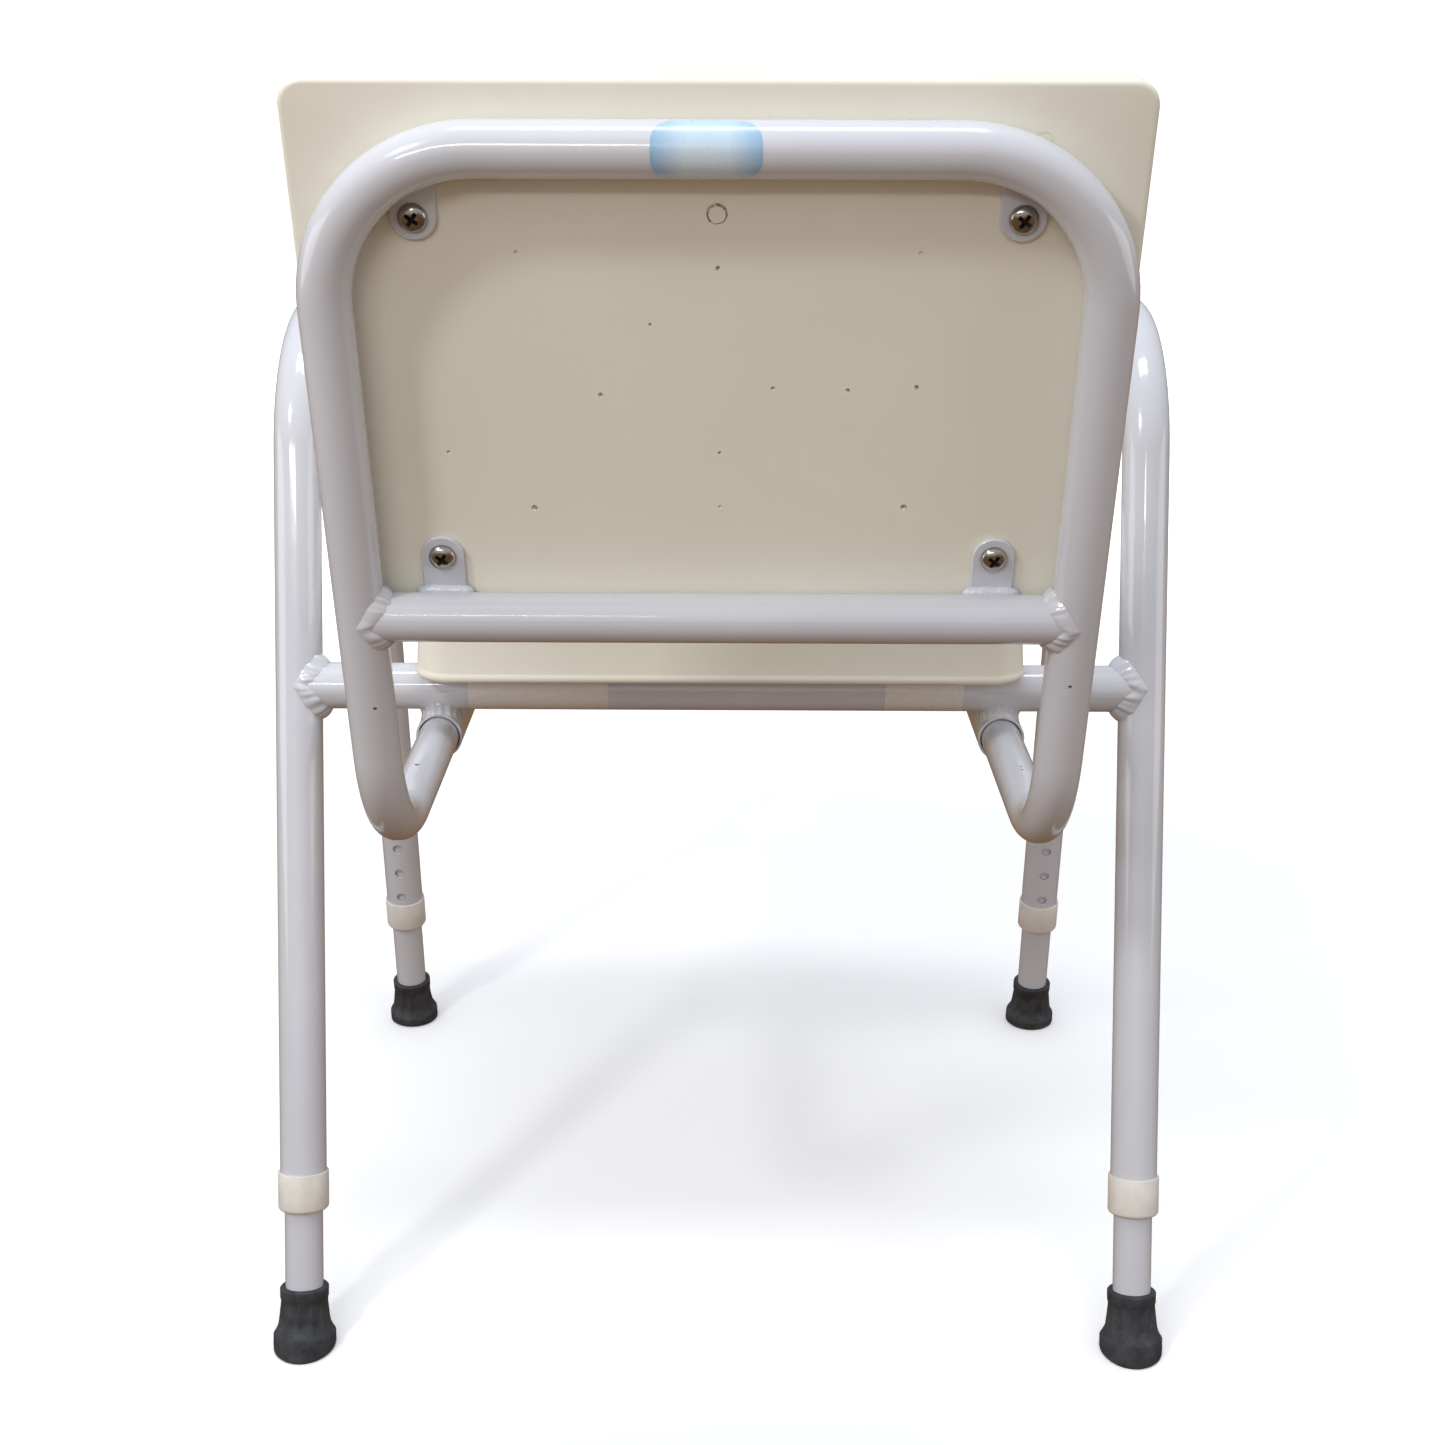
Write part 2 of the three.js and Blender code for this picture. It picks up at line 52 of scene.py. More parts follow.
# ---- Sizes in metres, the same as the CAD part's ---------------------------------
MM = 0.001
FRAME_WALL = 1.75 * MM
ARM_BEND = 107 * MM
LEG_WALL = 1.8 * MM
HOLE_RADIUS = 4.2 * MM
HOLE_PITCH = 25 * MM
HOLE_STEPS = range(-3, 3)
BUTTON_TO_END = 107 * MM
BUTTON_PROUD = 2.8 * MM
BACK_WALL = 2 * MM
BACK_CORNER = 78 * MM
SOCKET_BEND = 88 * MM
FOOT_HEIGHT = 43.5 * MM
FOOT_RADIUS = 21.6 * MM
TAB_PLATE = 3 * MM
SCREW_HEAD = 7.3 * MM
GAP = 0.3 * MM
TUBE_SIDES = 56
BEND_STEPS = 22
FERRULE_SIDES = 96
FERRULE_FLUTES = 12
RING_SIDES = 40
VENT_RADIUS = 1.1 * MM
VENTS = {"left": (-4.5 * MM, -51 * MM), "right": (0.9 * MM, -34.5 * MM)}  # across, and up from the cross tube
PLUG_MARKS = {  # y and radius of the small marks on top of each plug
    "left": ((129 * MM, 1.7 * MM),),
    "right": ((133 * MM, 0.9 * MM), (127 * MM, 0.9 * MM)),
}

# Fillet welds: how far the edges stand off the tubes, and how deep the hidden side sinks in.
WELD_STEPS = 112
WELD_CUTS = 7
WELD_LIFT = 0.15 * MM
WELD_SINK = 0.6 * MM

# Marks on the panel's rear face, in millimetres: x from the middle, drop from the top edge, radius and
# depth. A ring has an outer and an inner radius.
PANEL_PITS = [
    (0, 91, 1.5, 0.5), (99, 83, 1.2, 0.4), (-99, 83, 1.2, 0.4), (60, 158, 1.6, 0.5), (-28, 154, 1.3, 0.4),
    (-66, 155, 1.4, 0.5), (-101, 153, 1.4, 0.5), (-1, 190, 1.3, 0.4), (97, 222, 2.0, 0.6),
    (-98, 221, 2.0, 0.6), (-1, 221, 1.2, 0.4), (140, 190, 1.2, 0.4), (34, 120, 1.0, 0.3),
]
PANEL_RINGS = [(0.5, 63.7, 5.2, 4.2, 0.9), (-154.4, 28.6, 4.6, 3.9, 0.6)]

# ---- Camera: metres and degrees ----------------------------------------------------
FOCAL_WIDTHS = 1.3149  # focal length over the picture's width
CAMERA_AT = (-0.007, 1.2667, 0.8501)
CAMERA_DOWN = 19.148
CAMERA_ROLL = 0.177
CAMERA_TURN = 0.247


# ---- Places worked out from the frame -----------------------------------------------
def joint(name):
    return next(j for j in frame["joints"] if j["name"] == name)


def middle(node):
    low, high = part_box(node)
    return (low + high) / 2


MOUNTS = {m["name"]: Vector(m["pos_m"]) for m in RECORD["mounts"]}
SIDES = (("left", 1), ("right", -1))
ENDS = ("rear", "front")
CORNERS = [(f"{end}_{side}", end, side) for end in ENDS for side, _ in SIDES]

FRAME_R = (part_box("side_frame_left")[1].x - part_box("side_frame_left")[0].x) / 2
LEG_R = (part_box("leg_tube_rear_left")[1].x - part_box("leg_tube_rear_left")[0].x) / 2
BAR_Z = middle("rear_crossbar").z
RAIL = middle("socket_rail_left")
BACK_LOW, BACK_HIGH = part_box("back_tube")
BACK_X = RAIL.x
BACK_R = BACK_HIGH.x - BACK_X
ARM_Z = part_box("side_frame_left")[1].z - FRAME_R
BACK_TOP_Z = BACK_HIGH.z - BACK_R


def leg_axis(end):
    """Foot point of the left leg at that end, and its upward direction."""
    return MOUNTS[f"foot_{end}_left"], -Vector(joint(f"leg_{end}_left_height")["axis"])


def leg_spot(corner, distance):
    foot = MOUNTS[f"foot_{corner}"]
    return foot - Vector(joint(f"leg_{corner}_height")["axis"]) * distance


def button_at(corner):
    """Distance from the floor, along the leg, to the corner's snap button."""
    up = -Vector(joint(f"leg_{corner}_height")["axis"])
    return (middle(f"leg_button_{corner}") - MOUNTS[f"foot_{corner}"]).dot(up)


def button_out(corner):
    return -Vector(joint(f"leg_{corner}_button_press")["axis"])


def back_slope():
    """Unit vector up the backrest, its rearward normal, and a point on the uprights' plane."""
    cross = middle("back_cross_tube")
    top = Vector((0, BACK_HIGH.y - BACK_R, BACK_TOP_Z))
    up = Vector((0, top.y - cross.y, top.z - cross.z)).normalized()
    return up, Vector((0, up.z, -up.y)), Vector((0, cross.y, cross.z))


BACK_UP, BACK_REAR, BACK_POINT = back_slope()


def back_spot(x, rear, height):
    """A point x across, rear of the uprights' plane, and height up from the cross tube."""
    return BACK_POINT + Vector((x, 0, 0)) + BACK_REAR * rear + BACK_UP * height


def back_local(point):
    offset = Vector(point) - BACK_POINT
    return offset.x, offset.dot(BACK_REAR), offset.dot(BACK_UP)


# ---- Materials ------------------------------------------------------------------------
class Look:
    """A node material around one Principled shader."""

    def __init__(self, name, color, roughness, **sockets):
        self.material = bpy.data.materials.new(name)
        self.material.use_nodes = True
        self.tree = self.material.node_tree
        self.shader = self.tree.nodes["Principled BSDF"]
        self.shader.inputs["Base Color"].default_value = (*color, 1)
        self.shader.inputs["Roughness"].default_value = roughness
        for socket, value in sockets.items():
            self.shader.inputs[socket.replace("_", " ")].default_value = value
        self.spot = self.tree.nodes.new("ShaderNodeTexCoord").outputs["Object"]
        self.bumps = None

    def node(self, kind, **values):
        made = self.tree.nodes.new("ShaderNode" + kind)
        for key, value in values.items():
            if key in made.inputs:
                made.inputs[key].default_value = value
            else:
                setattr(made, key, value)
        return made

    def link(self, source, target):
        self.tree.links.new(source, target)

    def noise(self, scale, detail=3.0, roughness=0.5):
        texture = self.node("TexNoise", Scale=scale, Detail=detail, Roughness=roughness)
        self.link(self.spot, texture.inputs["Vector"])
        return texture.outputs["Fac"]

    def cells(self, scale):
        texture = self.node("TexVoronoi", Scale=scale)
        self.link(self.spot, texture.inputs["Vector"])
        return texture.outputs["Distance"]

    def ramp(self, source, stops):
        made = self.node("ValToRGB")
        ramp = made.color_ramp
        while len(ramp.elements) < len(stops):
            ramp.elements.new(0.5)
        for element, (place, color) in zip(ramp.elements, stops):
            element.position = place
            element.color = (*color, 1)
        self.link(source, made.inputs["Fac"])
        return made.outputs["Color"]

    def grey(self, source, low, high, start=0.3, stop=0.7):
        made = self.node("MapRange")
        for key, value in (("From Min", start), ("From Max", stop), ("To Min", low), ("To Max", high)):
            made.inputs[key].default_value = value
        self.link(source, made.inputs["Value"])
        return made.outputs["Result"]

    def mix(self, factor, one, two, blend="MIX"):
        made = self.node("Mix", data_type="RGBA", blend_type=blend)
        for index, value in ((0, factor), (6, one), (7, two)):
            if isinstance(value, bpy.types.NodeSocket):
                self.link(value, made.inputs[index])
            elif index == 0:
                made.inputs[0].default_value = value
            else:
                made.inputs[index].default_value = (*value, 1)
        return made.outputs[2]

    def color(self, source):
        self.link(source, self.shader.inputs["Base Color"])

    def rough(self, source):
        self.link(source, self.shader.inputs["Roughness"])

    def bump(self, source, strength, depth):
        made = self.node("Bump", Strength=strength, Distance=depth)
        self.link(source, made.inputs["Height"])
        if self.bumps:
            self.link(self.bumps, made.inputs["Normal"])
        self.bumps = made.outputs["Normal"]
        self.link(self.bumps, self.shader.inputs["Normal"])


def powder_coat():
    look = Look("powder_coat", (0.66, 0.67, 0.72), 0.12, Coat_Weight=0.6, Coat_Roughness=0.02, IOR=1.55)
    soft = look.noise(9, 2)
    look.color(look.ramp(soft, [(0.3, (0.645, 0.655, 0.705)), (0.7, (0.69, 0.70, 0.745))]))
    look.rough(look.grey(look.noise(60, 4), 0.1, 0.2))
    look.bump(look.noise(240, 2, 0.4), 0.05, 0.2 * MM)
    return look.material


def ivory_board(name, base, deep):
    look = Look(name, base, 0.42, IOR=1.48)
    clouds = look.ramp(look.noise(5, 4, 0.55), [(0.32, deep), (0.68, base)])
    specks = look.ramp(look.cells(95), [(0.0, (0.62, 0.55, 0.42)), (0.035, (1, 1, 1))])
    look.color(look.mix(0.35, clouds, specks, "MULTIPLY"))
    look.rough(look.grey(look.noise(24, 5), 0.36, 0.52))
    look.bump(look.noise(170, 4, 0.6), 0.18, 0.3 * MM)
    look.bump(look.grey(look.cells(70), 0, 1, 0.02, 0.09), 0.25, 0.2 * MM)
    return look.material


# Painted shade: a dark brown for the floors of the back board's pits and ring groove, where shade falls.
def board_painted_shade():
    look = Look("board_painted_shade", (0.36, 0.3, 0.2), 0.6)
    look.color(look.ramp(look.noise(500, 3), [(0.4, (0.3, 0.25, 0.17)), (0.6, (0.78, 0.73, 0.6))]))
    look.rough(look.grey(look.noise(400, 2), 0.5, 0.7))
    return look.material


def collar_plastic():
    look = Look("collar_plastic", (0.68, 0.63, 0.57), 0.5)
    look.color(look.ramp(look.noise(70, 4), [(0.3, (0.7, 0.65, 0.59)), (0.7, (0.8, 0.76, 0.7))]))
    look.rough(look.grey(look.noise(160, 3), 0.42, 0.6))
    look.bump(look.noise(900, 2), 0.15, 0.1 * MM)
    return look.material


def foot_rubber():
    look = Look("foot_rubber", (0.028, 0.029, 0.032), 0.7, IOR=1.52)
    dust = look.ramp(look.noise(90, 6, 0.65), [(0.35, (0.019, 0.021, 0.026)), (0.75, (0.06, 0.063, 0.07))])
    look.color(dust)
    look.rough(look.grey(look.noise(140, 4), 0.55, 0.85))
    look.bump(look.noise(1300, 3), 0.3, 0.12 * MM)
    return look.material


def screw_steel():
    look = Look("screw_steel", (0.4, 0.37, 0.33), 0.2, Metallic=1.0)
    look.color(look.ramp(look.noise(260, 3), [(0.3, (0.34, 0.32, 0.29)), (0.7, (0.52, 0.5, 0.46))]))
    look.rough(look.grey(look.noise(600, 3), 0.12, 0.28))
    look.bump(look.noise(1500, 2), 0.08, 0.05 * MM)
    return look.material


# Painted shade: a near-black for the inside of the cross recess, where shade falls.
def screw_recess():
    look = Look("screw_recess", (0.03, 0.027, 0.024), 0.6, Metallic=0.6)
    look.color(look.ramp(look.noise(500, 3), [(0.3, (0.012, 0.011, 0.01)), (0.7, (0.045, 0.04, 0.036))]))
    look.rough(look.grey(look.noise(700, 3), 0.5, 0.75))
    return look.material


def spring_steel():
    look = Look("spring_steel", (0.3, 0.3, 0.31), 0.38, Metallic=1.0)
    look.color(look.ramp(look.noise(200, 3), [(0.3, (0.22, 0.22, 0.23)), (0.7, (0.36, 0.36, 0.37))]))
    look.rough(look.grey(look.noise(400, 3), 0.3, 0.5))
    return look.material


def label_film(name, top, bottom, low_z, high_z, ends=None, low_x=0.0, high_x=1.0):
    """A satin film whose colour runs softly from edge to edge, and towards its two ends."""
    look = Look(name, top, 0.3, Coat_Weight=0.4, Coat_Roughness=0.1)
    split = look.node("SeparateXYZ")
    look.link(look.spot, split.inputs["Vector"])
    height = look.grey(split.outputs["Z"], 0, 1, low_z, high_z)
    tint = look.ramp(height, [(0.0, bottom), (1.0, top)])
    if ends:
        offset = look.node("Math", operation="SUBTRACT")
        look.link(split.outputs["X"], offset.inputs[0])
        offset.inputs[1].default_value = (low_x + high_x) / 2
        size = look.node("Math", operation="ABSOLUTE")
        look.link(offset.outputs["Value"], size.inputs[0])
        outer = look.grey(size.outputs["Value"], 0, 1, 0.2 * (high_x - low_x), 0.52 * (high_x - low_x))
        tint = look.mix(outer, tint, ends)
    grain = look.ramp(look.noise(800, 2), [(0.3, (0.96, 0.96, 0.96)), (0.7, (1, 1, 1))])
    look.color(look.mix(1.0, tint, grain, "MULTIPLY"))
    look.rough(look.grey(look.noise(300, 3), 0.24, 0.36))
    return look.material


LOOKS = {
    "powder_coat": powder_coat(),
    "moulded_board": ivory_board("moulded_board", (0.87, 0.84, 0.73), (0.83, 0.795, 0.675)),
    "board_painted_shade": board_painted_shade(),
    "collar_plastic": collar_plastic(),
    "foot_rubber": foot_rubber(),
    "screw_steel": screw_steel(),
    "screw_recess": screw_recess(),
    "spring_steel": spring_steel(),
}


# ---- Mesh helpers -------------------------------------------------------------------------
def piece(name, vertices, faces, look, body, replaced=(), sharp=32):
    """A mesh object that rides on a body and may stand for CAD nodes."""
    mesh = bpy.data.meshes.new(name)
    mesh.from_pydata([tuple(v) for v in vertices], [], faces)
    made = bpy.data.objects.new(name, mesh)
    bpy.context.scene.collection.objects.link(made)
    outward(mesh)
    return dress(made, look, body, replaced, sharp)


def outward(mesh):
    """Welds doubled points and turns the faces outwards."""
    work = bmesh.new()
    work.from_mesh(mesh)
    bmesh.ops.remove_doubles(work, verts=work.verts, dist=1e-6)
    bmesh.ops.recalc_face_normals(work, faces=work.faces)
    work.to_mesh(mesh)
    work.free()


def dress(made, look, body, replaced=(), sharp=32):
    made.data.materials.clear()
    made.data.materials.append(LOOKS[look])
    shade(made, sharp)
    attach(made, body)
    if replaced:
        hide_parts(*replaced)
    return made


def shade(made, sharp):
    made.data.shade_smooth()
    made.data.set_sharp_from_angle(angle=math.radians(sharp))


def apply_modifiers(made):
    graph = bpy.context.evaluated_depsgraph_get()
    finished = bpy.data.meshes.new_from_object(made.evaluated_get(graph))
    made.modifiers.clear()
    made.data = finished


def cut(made, cutters, sharp=32):
    """Takes closed cutter objects out of a piece and deletes them."""
    for cutter in cutters:
        modifier = made.modifiers.new("cut", "BOOLEAN")
        modifier.operation = "DIFFERENCE"
        modifier.solver = "EXACT"
        modifier.object = cutter
    bpy.context.view_layer.update()
    apply_modifiers(made)
    for cutter in cutters:
        bpy.data.objects.remove(cutter)
    shade(made, sharp)


def loose(vertices, faces):
    """A plain closed mesh object, used only as a cutter."""
    mesh = bpy.data.meshes.new("cutter")
    mesh.from_pydata([tuple(v) for v in vertices], [], faces)
    made = bpy.data.objects.new("cutter", mesh)
    bpy.context.scene.collection.objects.link(made)
    outward(mesh)
    return made


def across_axes(axis):
    """Two unit vectors square to an axis and each other."""
    axis = Vector(axis).normalized()
    one = axis.cross(Vector((0, 0, 1)) if abs(axis.z) < 0.9 else Vector((1, 0, 0))).normalized()
    return one, axis.cross(one)


def band_faces(rings, sides, closed):
    faces = []
    for i in range(rings if closed else rings - 1):
        a, b = i * sides, ((i + 1) % rings) * sides
        for j in range(sides):
            k = (j + 1) % sides
            faces.append((a + j, a + k, b + k, b + j))
    return faces


def turned(origin, axis, outline, sides=48, swell=None):
    """Vertices and faces of a lathe round an axis; outline is (radius, distance along)."""
    one, two = across_axes(axis)
    axis = Vector(axis).normalized()
    vertices, faces, rings = [], [], []
    for radius, along in outline:
        start = len(vertices)
        count = 1 if radius < 1e-7 else sides
        for j in range(count):
            angle = 2 * math.pi * j / sides
            r = radius * (swell(angle, along) if swell else 1)
            spoke = one * (r * math.cos(angle)) + two * (r * math.sin(angle))
            vertices.append(Vector(origin) + axis * along + spoke)
        rings.append((start, count))
    for (a, na), (b, nb) in zip(rings, rings[1:]):
        for j in range(sides):
            k = (j + 1) % sides
            if na == 1:
                faces.append((a, b + k, b + j))
            elif nb == 1:
                faces.append((a + j, a + k, b))
            else:
                faces.append((a + j, a + k, b + k, b + j))
    return vertices, faces


def closed_turned(origin, axis, outline, sides=48):
    """A lathe whose outline closes on itself, such as a ring."""
    vertices, _ = turned(origin, axis, outline, sides)
    return vertices, band_faces(len(outline), sides, True)


def rod(start, end, radius, sides=24):
    axis = Vector(end) - Vector(start)
    length = axis.length
    return loose(*turned(start, axis, [(0, 0), (radius, 0), (radius, length), (0, length)], sides))


def bent_path(corners, radii, steps=BEND_STEPS):
    """Points and tangents along straight runs joined by round bends."""
    corners = [Vector(c) for c in corners]
    heads = [(b - a).normalized() for a, b in zip(corners, corners[1:])]
    path = [(corners[0], heads[0])]
    for corner, before, after, radius in zip(corners[1:], heads, heads[1:], radii):
        angle = before.angle(after)
        start = corner - before * (radius * math.tan(angle / 2))
        inward = (after - before * before.dot(after)).normalized()
        centre = start + inward * radius
        for step in range(steps + 1):
            a = angle * step / steps
            spot = centre - inward * (radius * math.cos(a)) + before * (radius * math.sin(a))
            path.append((spot, before * math.cos(a) + inward * math.sin(a)))
    path.append((corners[-1], heads[-1]))
    return path


def carried_axes(path):
    """Section axes carried along a path without twist."""
    one, _ = across_axes(path[0][1])
    axes = []
    for _, tangent in path:
        one = (one - tangent * one.dot(tangent)).normalized()
        axes.append((one.copy(), tangent.cross(one)))
    return axes


def ring_points(spot, axes, radius, sides):
    one, two = axes
    return [
        spot + one * (radius * math.cos(a)) + two * (radius * math.sin(a))
        for a in (2 * math.pi * j / sides for j in range(sides))
    ]


def pipe(path, outer, inner, sides=TUBE_SIDES, soft=0.35 * MM):
    """A hollow tube along a path, its two rims slightly rounded."""
    axes = carried_axes(path)
    first, last = path[0], path[-1]
    stations = [(first[0], axes[0], outer - soft), (first[0] + first[1] * soft, axes[0], outer)]
    stations += [(p, a, outer) for (p, _), a in zip(path[1:-1], axes[1:-1])]
    stations += [(last[0] - last[1] * soft, axes[-1], outer), (last[0], axes[-1], outer - soft)]
    stations += [(last[0], axes[-1], inner + soft), (last[0] - last[1] * soft, axes[-1], inner)]
    stations += [(p, a, inner) for (p, _), a in list(zip(path[1:-1], axes[1:-1]))[::-1]]
    stations += [(first[0] + first[1] * soft, axes[0], inner), (first[0], axes[0], inner + soft)]
    vertices = [v for p, a, r in stations for v in ring_points(p, a, r, sides)]
    return vertices, band_faces(len(stations), sides, True)


def bead(name, spots, body, radius, seed):
    """A lumpy rippled weld bead along an open line of points, covered by the powder coat."""
    sides, ripple = 14, 3.4 * MM
    spots = [Vector(s) for s in spots]
    count = len(spots)
    tangents = []
    for i in range(count):
        tangents.append((spots[min(i + 1, count - 1)] - spots[max(i - 1, 0)]).normalized())
    axes = carried_axes(list(zip(spots, tangents)))
    vertices, travelled = [], 0.0
    for i, (spot, ax) in enumerate(zip(spots, axes)):
        travelled += (spot - spots[i - 1]).length if i else 0
        wave = 0.07 * math.sin(2 * math.pi * travelled / ripple + 0.9 * math.sin(travelled * 400 + seed))
        lump = 0.26 * noise.noise(spot * 120 + Vector((seed, 0, 0)))
        end = math.sqrt(max(0.05, 1 - (2 * i / (count - 1) - 1) ** 6))
        vertices += ring_points(spot, ax, radius * (1 + wave + lump) * end, sides)
    faces = band_faces(count, sides, False)
    faces += [tuple(range(sides))[::-1], tuple(range((count - 1) * sides, count * sides))]
    return piece(name, vertices, faces, "powder_coat", body, sharp=60)


def rounded_outline(width, height, corner, steps=10):
    """Corner arcs of a rounded rectangle, counter-clockwise from +X."""
    points = []
    for quarter, (sx, sy) in enumerate(((1, 1), (-1, 1), (-1, -1), (1, -1))):
        cx, cy = sx * (width / 2 - corner), sy * (height / 2 - corner)
        for step in range(steps + 1):
            a = math.pi / 2 * (quarter + step / steps)
            points.append((cx + corner * math.cos(a), cy + corner * math.sin(a)))
    return points


def board(width, height, corner, levels, place):
    """A moulded board from outlines at rising levels; levels are (inset, height)."""
    vertices, count = [], 0
    for inset, level in levels:
        outline = rounded_outline(width - 2 * inset, height - 2 * inset, corner - inset)
        count = len(outline)
        vertices += [place(x, y, level) for x, y in outline]
    faces = band_faces(len(levels), count, False)
    top = (len(levels) - 1) * count
    faces += [tuple(range(count))[::-1], tuple(range(top, top + count))]
    return vertices, faces


def rounded_levels(thickness, low_round, high_round, draft=0.0, steps=6):
    """(inset, level) of a board's edge: rounded below and above, with drafted sides."""
    levels = []
    for step in range(steps + 1):
        a = math.pi / 2 * step / steps
        levels.append((low_round * (1 - math.sin(a)), low_round * (1 - math.cos(a))))
    for step in range(steps + 1):
        a = math.pi / 2 * step / steps
        levels.append((draft + high_round * (1 - math.cos(a)), thickness - high_round * (1 - math.sin(a))))
    return levels


# ---- Welded frame --------------------------------------------------------------------------
def side_frame(side, sign):
    """Rear leg, arm loop and front leg in one bent tube, with rows of button holes."""
    def leg_at(end, height):
        foot, up = leg_axis(end)
        return Vector((sign * foot.x, foot.y, 0)) + up * (height / up.z)

    corners = [
        leg_spot(f"rear_{side}", button_at(f"rear_{side}") - BUTTON_TO_END), leg_at("rear", ARM_Z),
        leg_at("front", ARM_Z), leg_spot(f"front_{side}", button_at(f"front_{side}") - BUTTON_TO_END),
    ]
    path = bent_path(corners, [ARM_BEND] * 2)
    tube = piece(f"{side}_side_tube", *pipe(path, FRAME_R, FRAME_R - FRAME_WALL), "powder_coat", "frame",
                 [f"side_frame_{side}"])
    cutters = []
    for end in ENDS:
        corner = f"{end}_{side}"
        for step in HOLE_STEPS:
            spot = leg_spot(corner, button_at(corner) + step * HOLE_PITCH)
            cutters.append(rod(spot, spot + button_out(corner) * (FRAME_R * 1.3), HOLE_RADIUS))
    cut(tube, cutters)


def crossbar(end):
    foot, up = leg_axis(end)
    y, reach = middle(f"{end}_crossbar").y, foot.x - 1.5 * MM
    path = bent_path([(-reach, y, BAR_Z), (reach, y, BAR_Z)], [])
    bar = piece(f"{end}_bar_tube", *pipe(path, FRAME_R, FRAME_R - FRAME_WALL),
                "powder_coat", "frame", [f"{end}_crossbar"])
    cutters = []
    for _, sign in SIDES:
        hub = Vector((sign * foot.x, y, BAR_Z))
        cutters.append(rod(hub - up * 0.06, hub + up * 0.06, FRAME_R - 0.4 * MM, TUBE_SIDES))
    cut(bar, cutters)
    for index, (side, sign) in enumerate(SIDES):
        hub = Vector((sign * foot.x, y, BAR_Z))
        fillet(f"weld_{end}_bar_{side}", "frame", hub, Vector((-sign, 0, 0)), up, FRAME_R, FRAME_R,
               6.2 * MM, 7 * index + len(end))


def fillet(name, body, hub, branch, main, branch_r, main_r, size, seed):
    """A lumpy fillet weld where a branch tube meets a main tube; hub is on the main tube's axis."""
    across = branch.cross(main).normalized()
    vertices = []
    for step in range(WELD_STEPS):
        a = 2 * math.pi * step / WELD_STEPS
        wide, rise = math.cos(a), math.sin(a)
        ripple = abs(math.sin(step * 0.55 + 0.9 * math.sin(step * 0.31 + seed))) - 0.6
        lump = noise.noise(Vector((3.5 * wide + seed, 3.5 * rise, seed)))
        reach = size * (1 + 0.22 * lump + 0.1 * ripple)
        flush = abs(wide) ** 3
        side = branch_r * wide
        turn = math.asin(max(-1.0, min(1.0, side / main_r)))
        root = hub + branch * (main_r * math.cos(turn)) + across * side + main * (branch_r * rise)
        grown = branch_r + WELD_LIFT
        on_branch = (hub + branch * (main_r * math.cos(turn) + reach * (1 + 0.5 * flush))
                     + across * (grown * wide) + main * (grown * rise))
        swing, grown = turn + reach * (1 - 0.8 * flush) * wide / main_r, main_r + WELD_LIFT
        on_main = (hub + branch * (grown * math.cos(swing)) + across * (grown * math.sin(swing))
                   + main * ((branch_r + reach) * rise))
        bend = root.lerp((on_branch + on_main) / 2, 1.2 + 0.28 * lump + 0.2 * ripple)
        bend = bend + across * (wide * flush * (2.6 + 1.8 * lump + 1.6 * ripple) * MM)
        for cut_step in range(WELD_CUTS):
            t = cut_step / (WELD_CUTS - 1)
            vertices.append(on_branch * (1 - t) ** 2 + bend * (2 * t * (1 - t)) + on_main * t ** 2)
        vertices.append(root - branch * WELD_SINK - across * (WELD_SINK * wide) - main * (WELD_SINK * rise))
    return piece(name, vertices, band_faces(WELD_STEPS, WELD_CUTS + 1, True), "powder_coat", body, sharp=75)


def socket_rail(side, sign):
    low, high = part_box(f"socket_rail_{side}")
    centre = (low + high) / 2
    path = bent_path([(centre.x, low.y, centre.z), (centre.x, high.y, centre.z)], [])
    piece(f"{side}_rail_tube", *pipe(path, FRAME_R, FRAME_R - FRAME_WALL, soft=0.5 * MM),
          "powder_coat", "frame", [f"socket_rail_{side}"])
    for end in ENDS:
        y = middle(f"{end}_crossbar").y
        cross_pad(f"weld_{end}_rail_{side}", Vector((centre.x, y, BAR_Z)), centre.z, 3 * sign + len(end))


def cross_pad(name, bar_point, rail_z, seed):
    """Weld metal between two crossing tubes, flaring onto the upper one (X) and the lower one (Y)."""
    steps, cuts, vertices = 72, 7, []
    for step in range(steps):
        a = 2 * math.pi * step / steps
        x, y = math.cos(a), math.sin(a)
        wave = 1 + 0.05 * math.sin(step * 1.3 + seed) + 0.1 * noise.noise(Vector((2 * x + seed, 2 * y, seed)))

        def upper(r):
            return bar_point + Vector((r * x, r * y, 0.2 * MM - math.sqrt(FRAME_R ** 2 - (r * y) ** 2)))

        def lower(r):
            rise = rail_z - bar_point.z - 0.2 * MM + math.sqrt(FRAME_R ** 2 - (r * x) ** 2)
            return bar_point + Vector((r * x, r * y, rise))

        high, low = upper(14.6 * MM * wave ** 0.5), lower(14.4 * MM * wave ** 0.5)
        waist = (upper(11.6 * MM * wave) + lower(11.6 * MM * wave)) / 2
        for cut_step in range(cuts):
            t = cut_step / (cuts - 1)
            vertices.append(high * (1 - t) ** 2 + waist * (2 * t * (1 - t)) + low * t ** 2)
        vertices += [lower(6 * MM) - Vector((0, 0, 0.3 * MM)), upper(6 * MM) + Vector((0, 0, 0.3 * MM))]
    return piece(name, vertices, band_faces(steps, cuts + 2, True), "powder_coat", "frame", sharp=75)


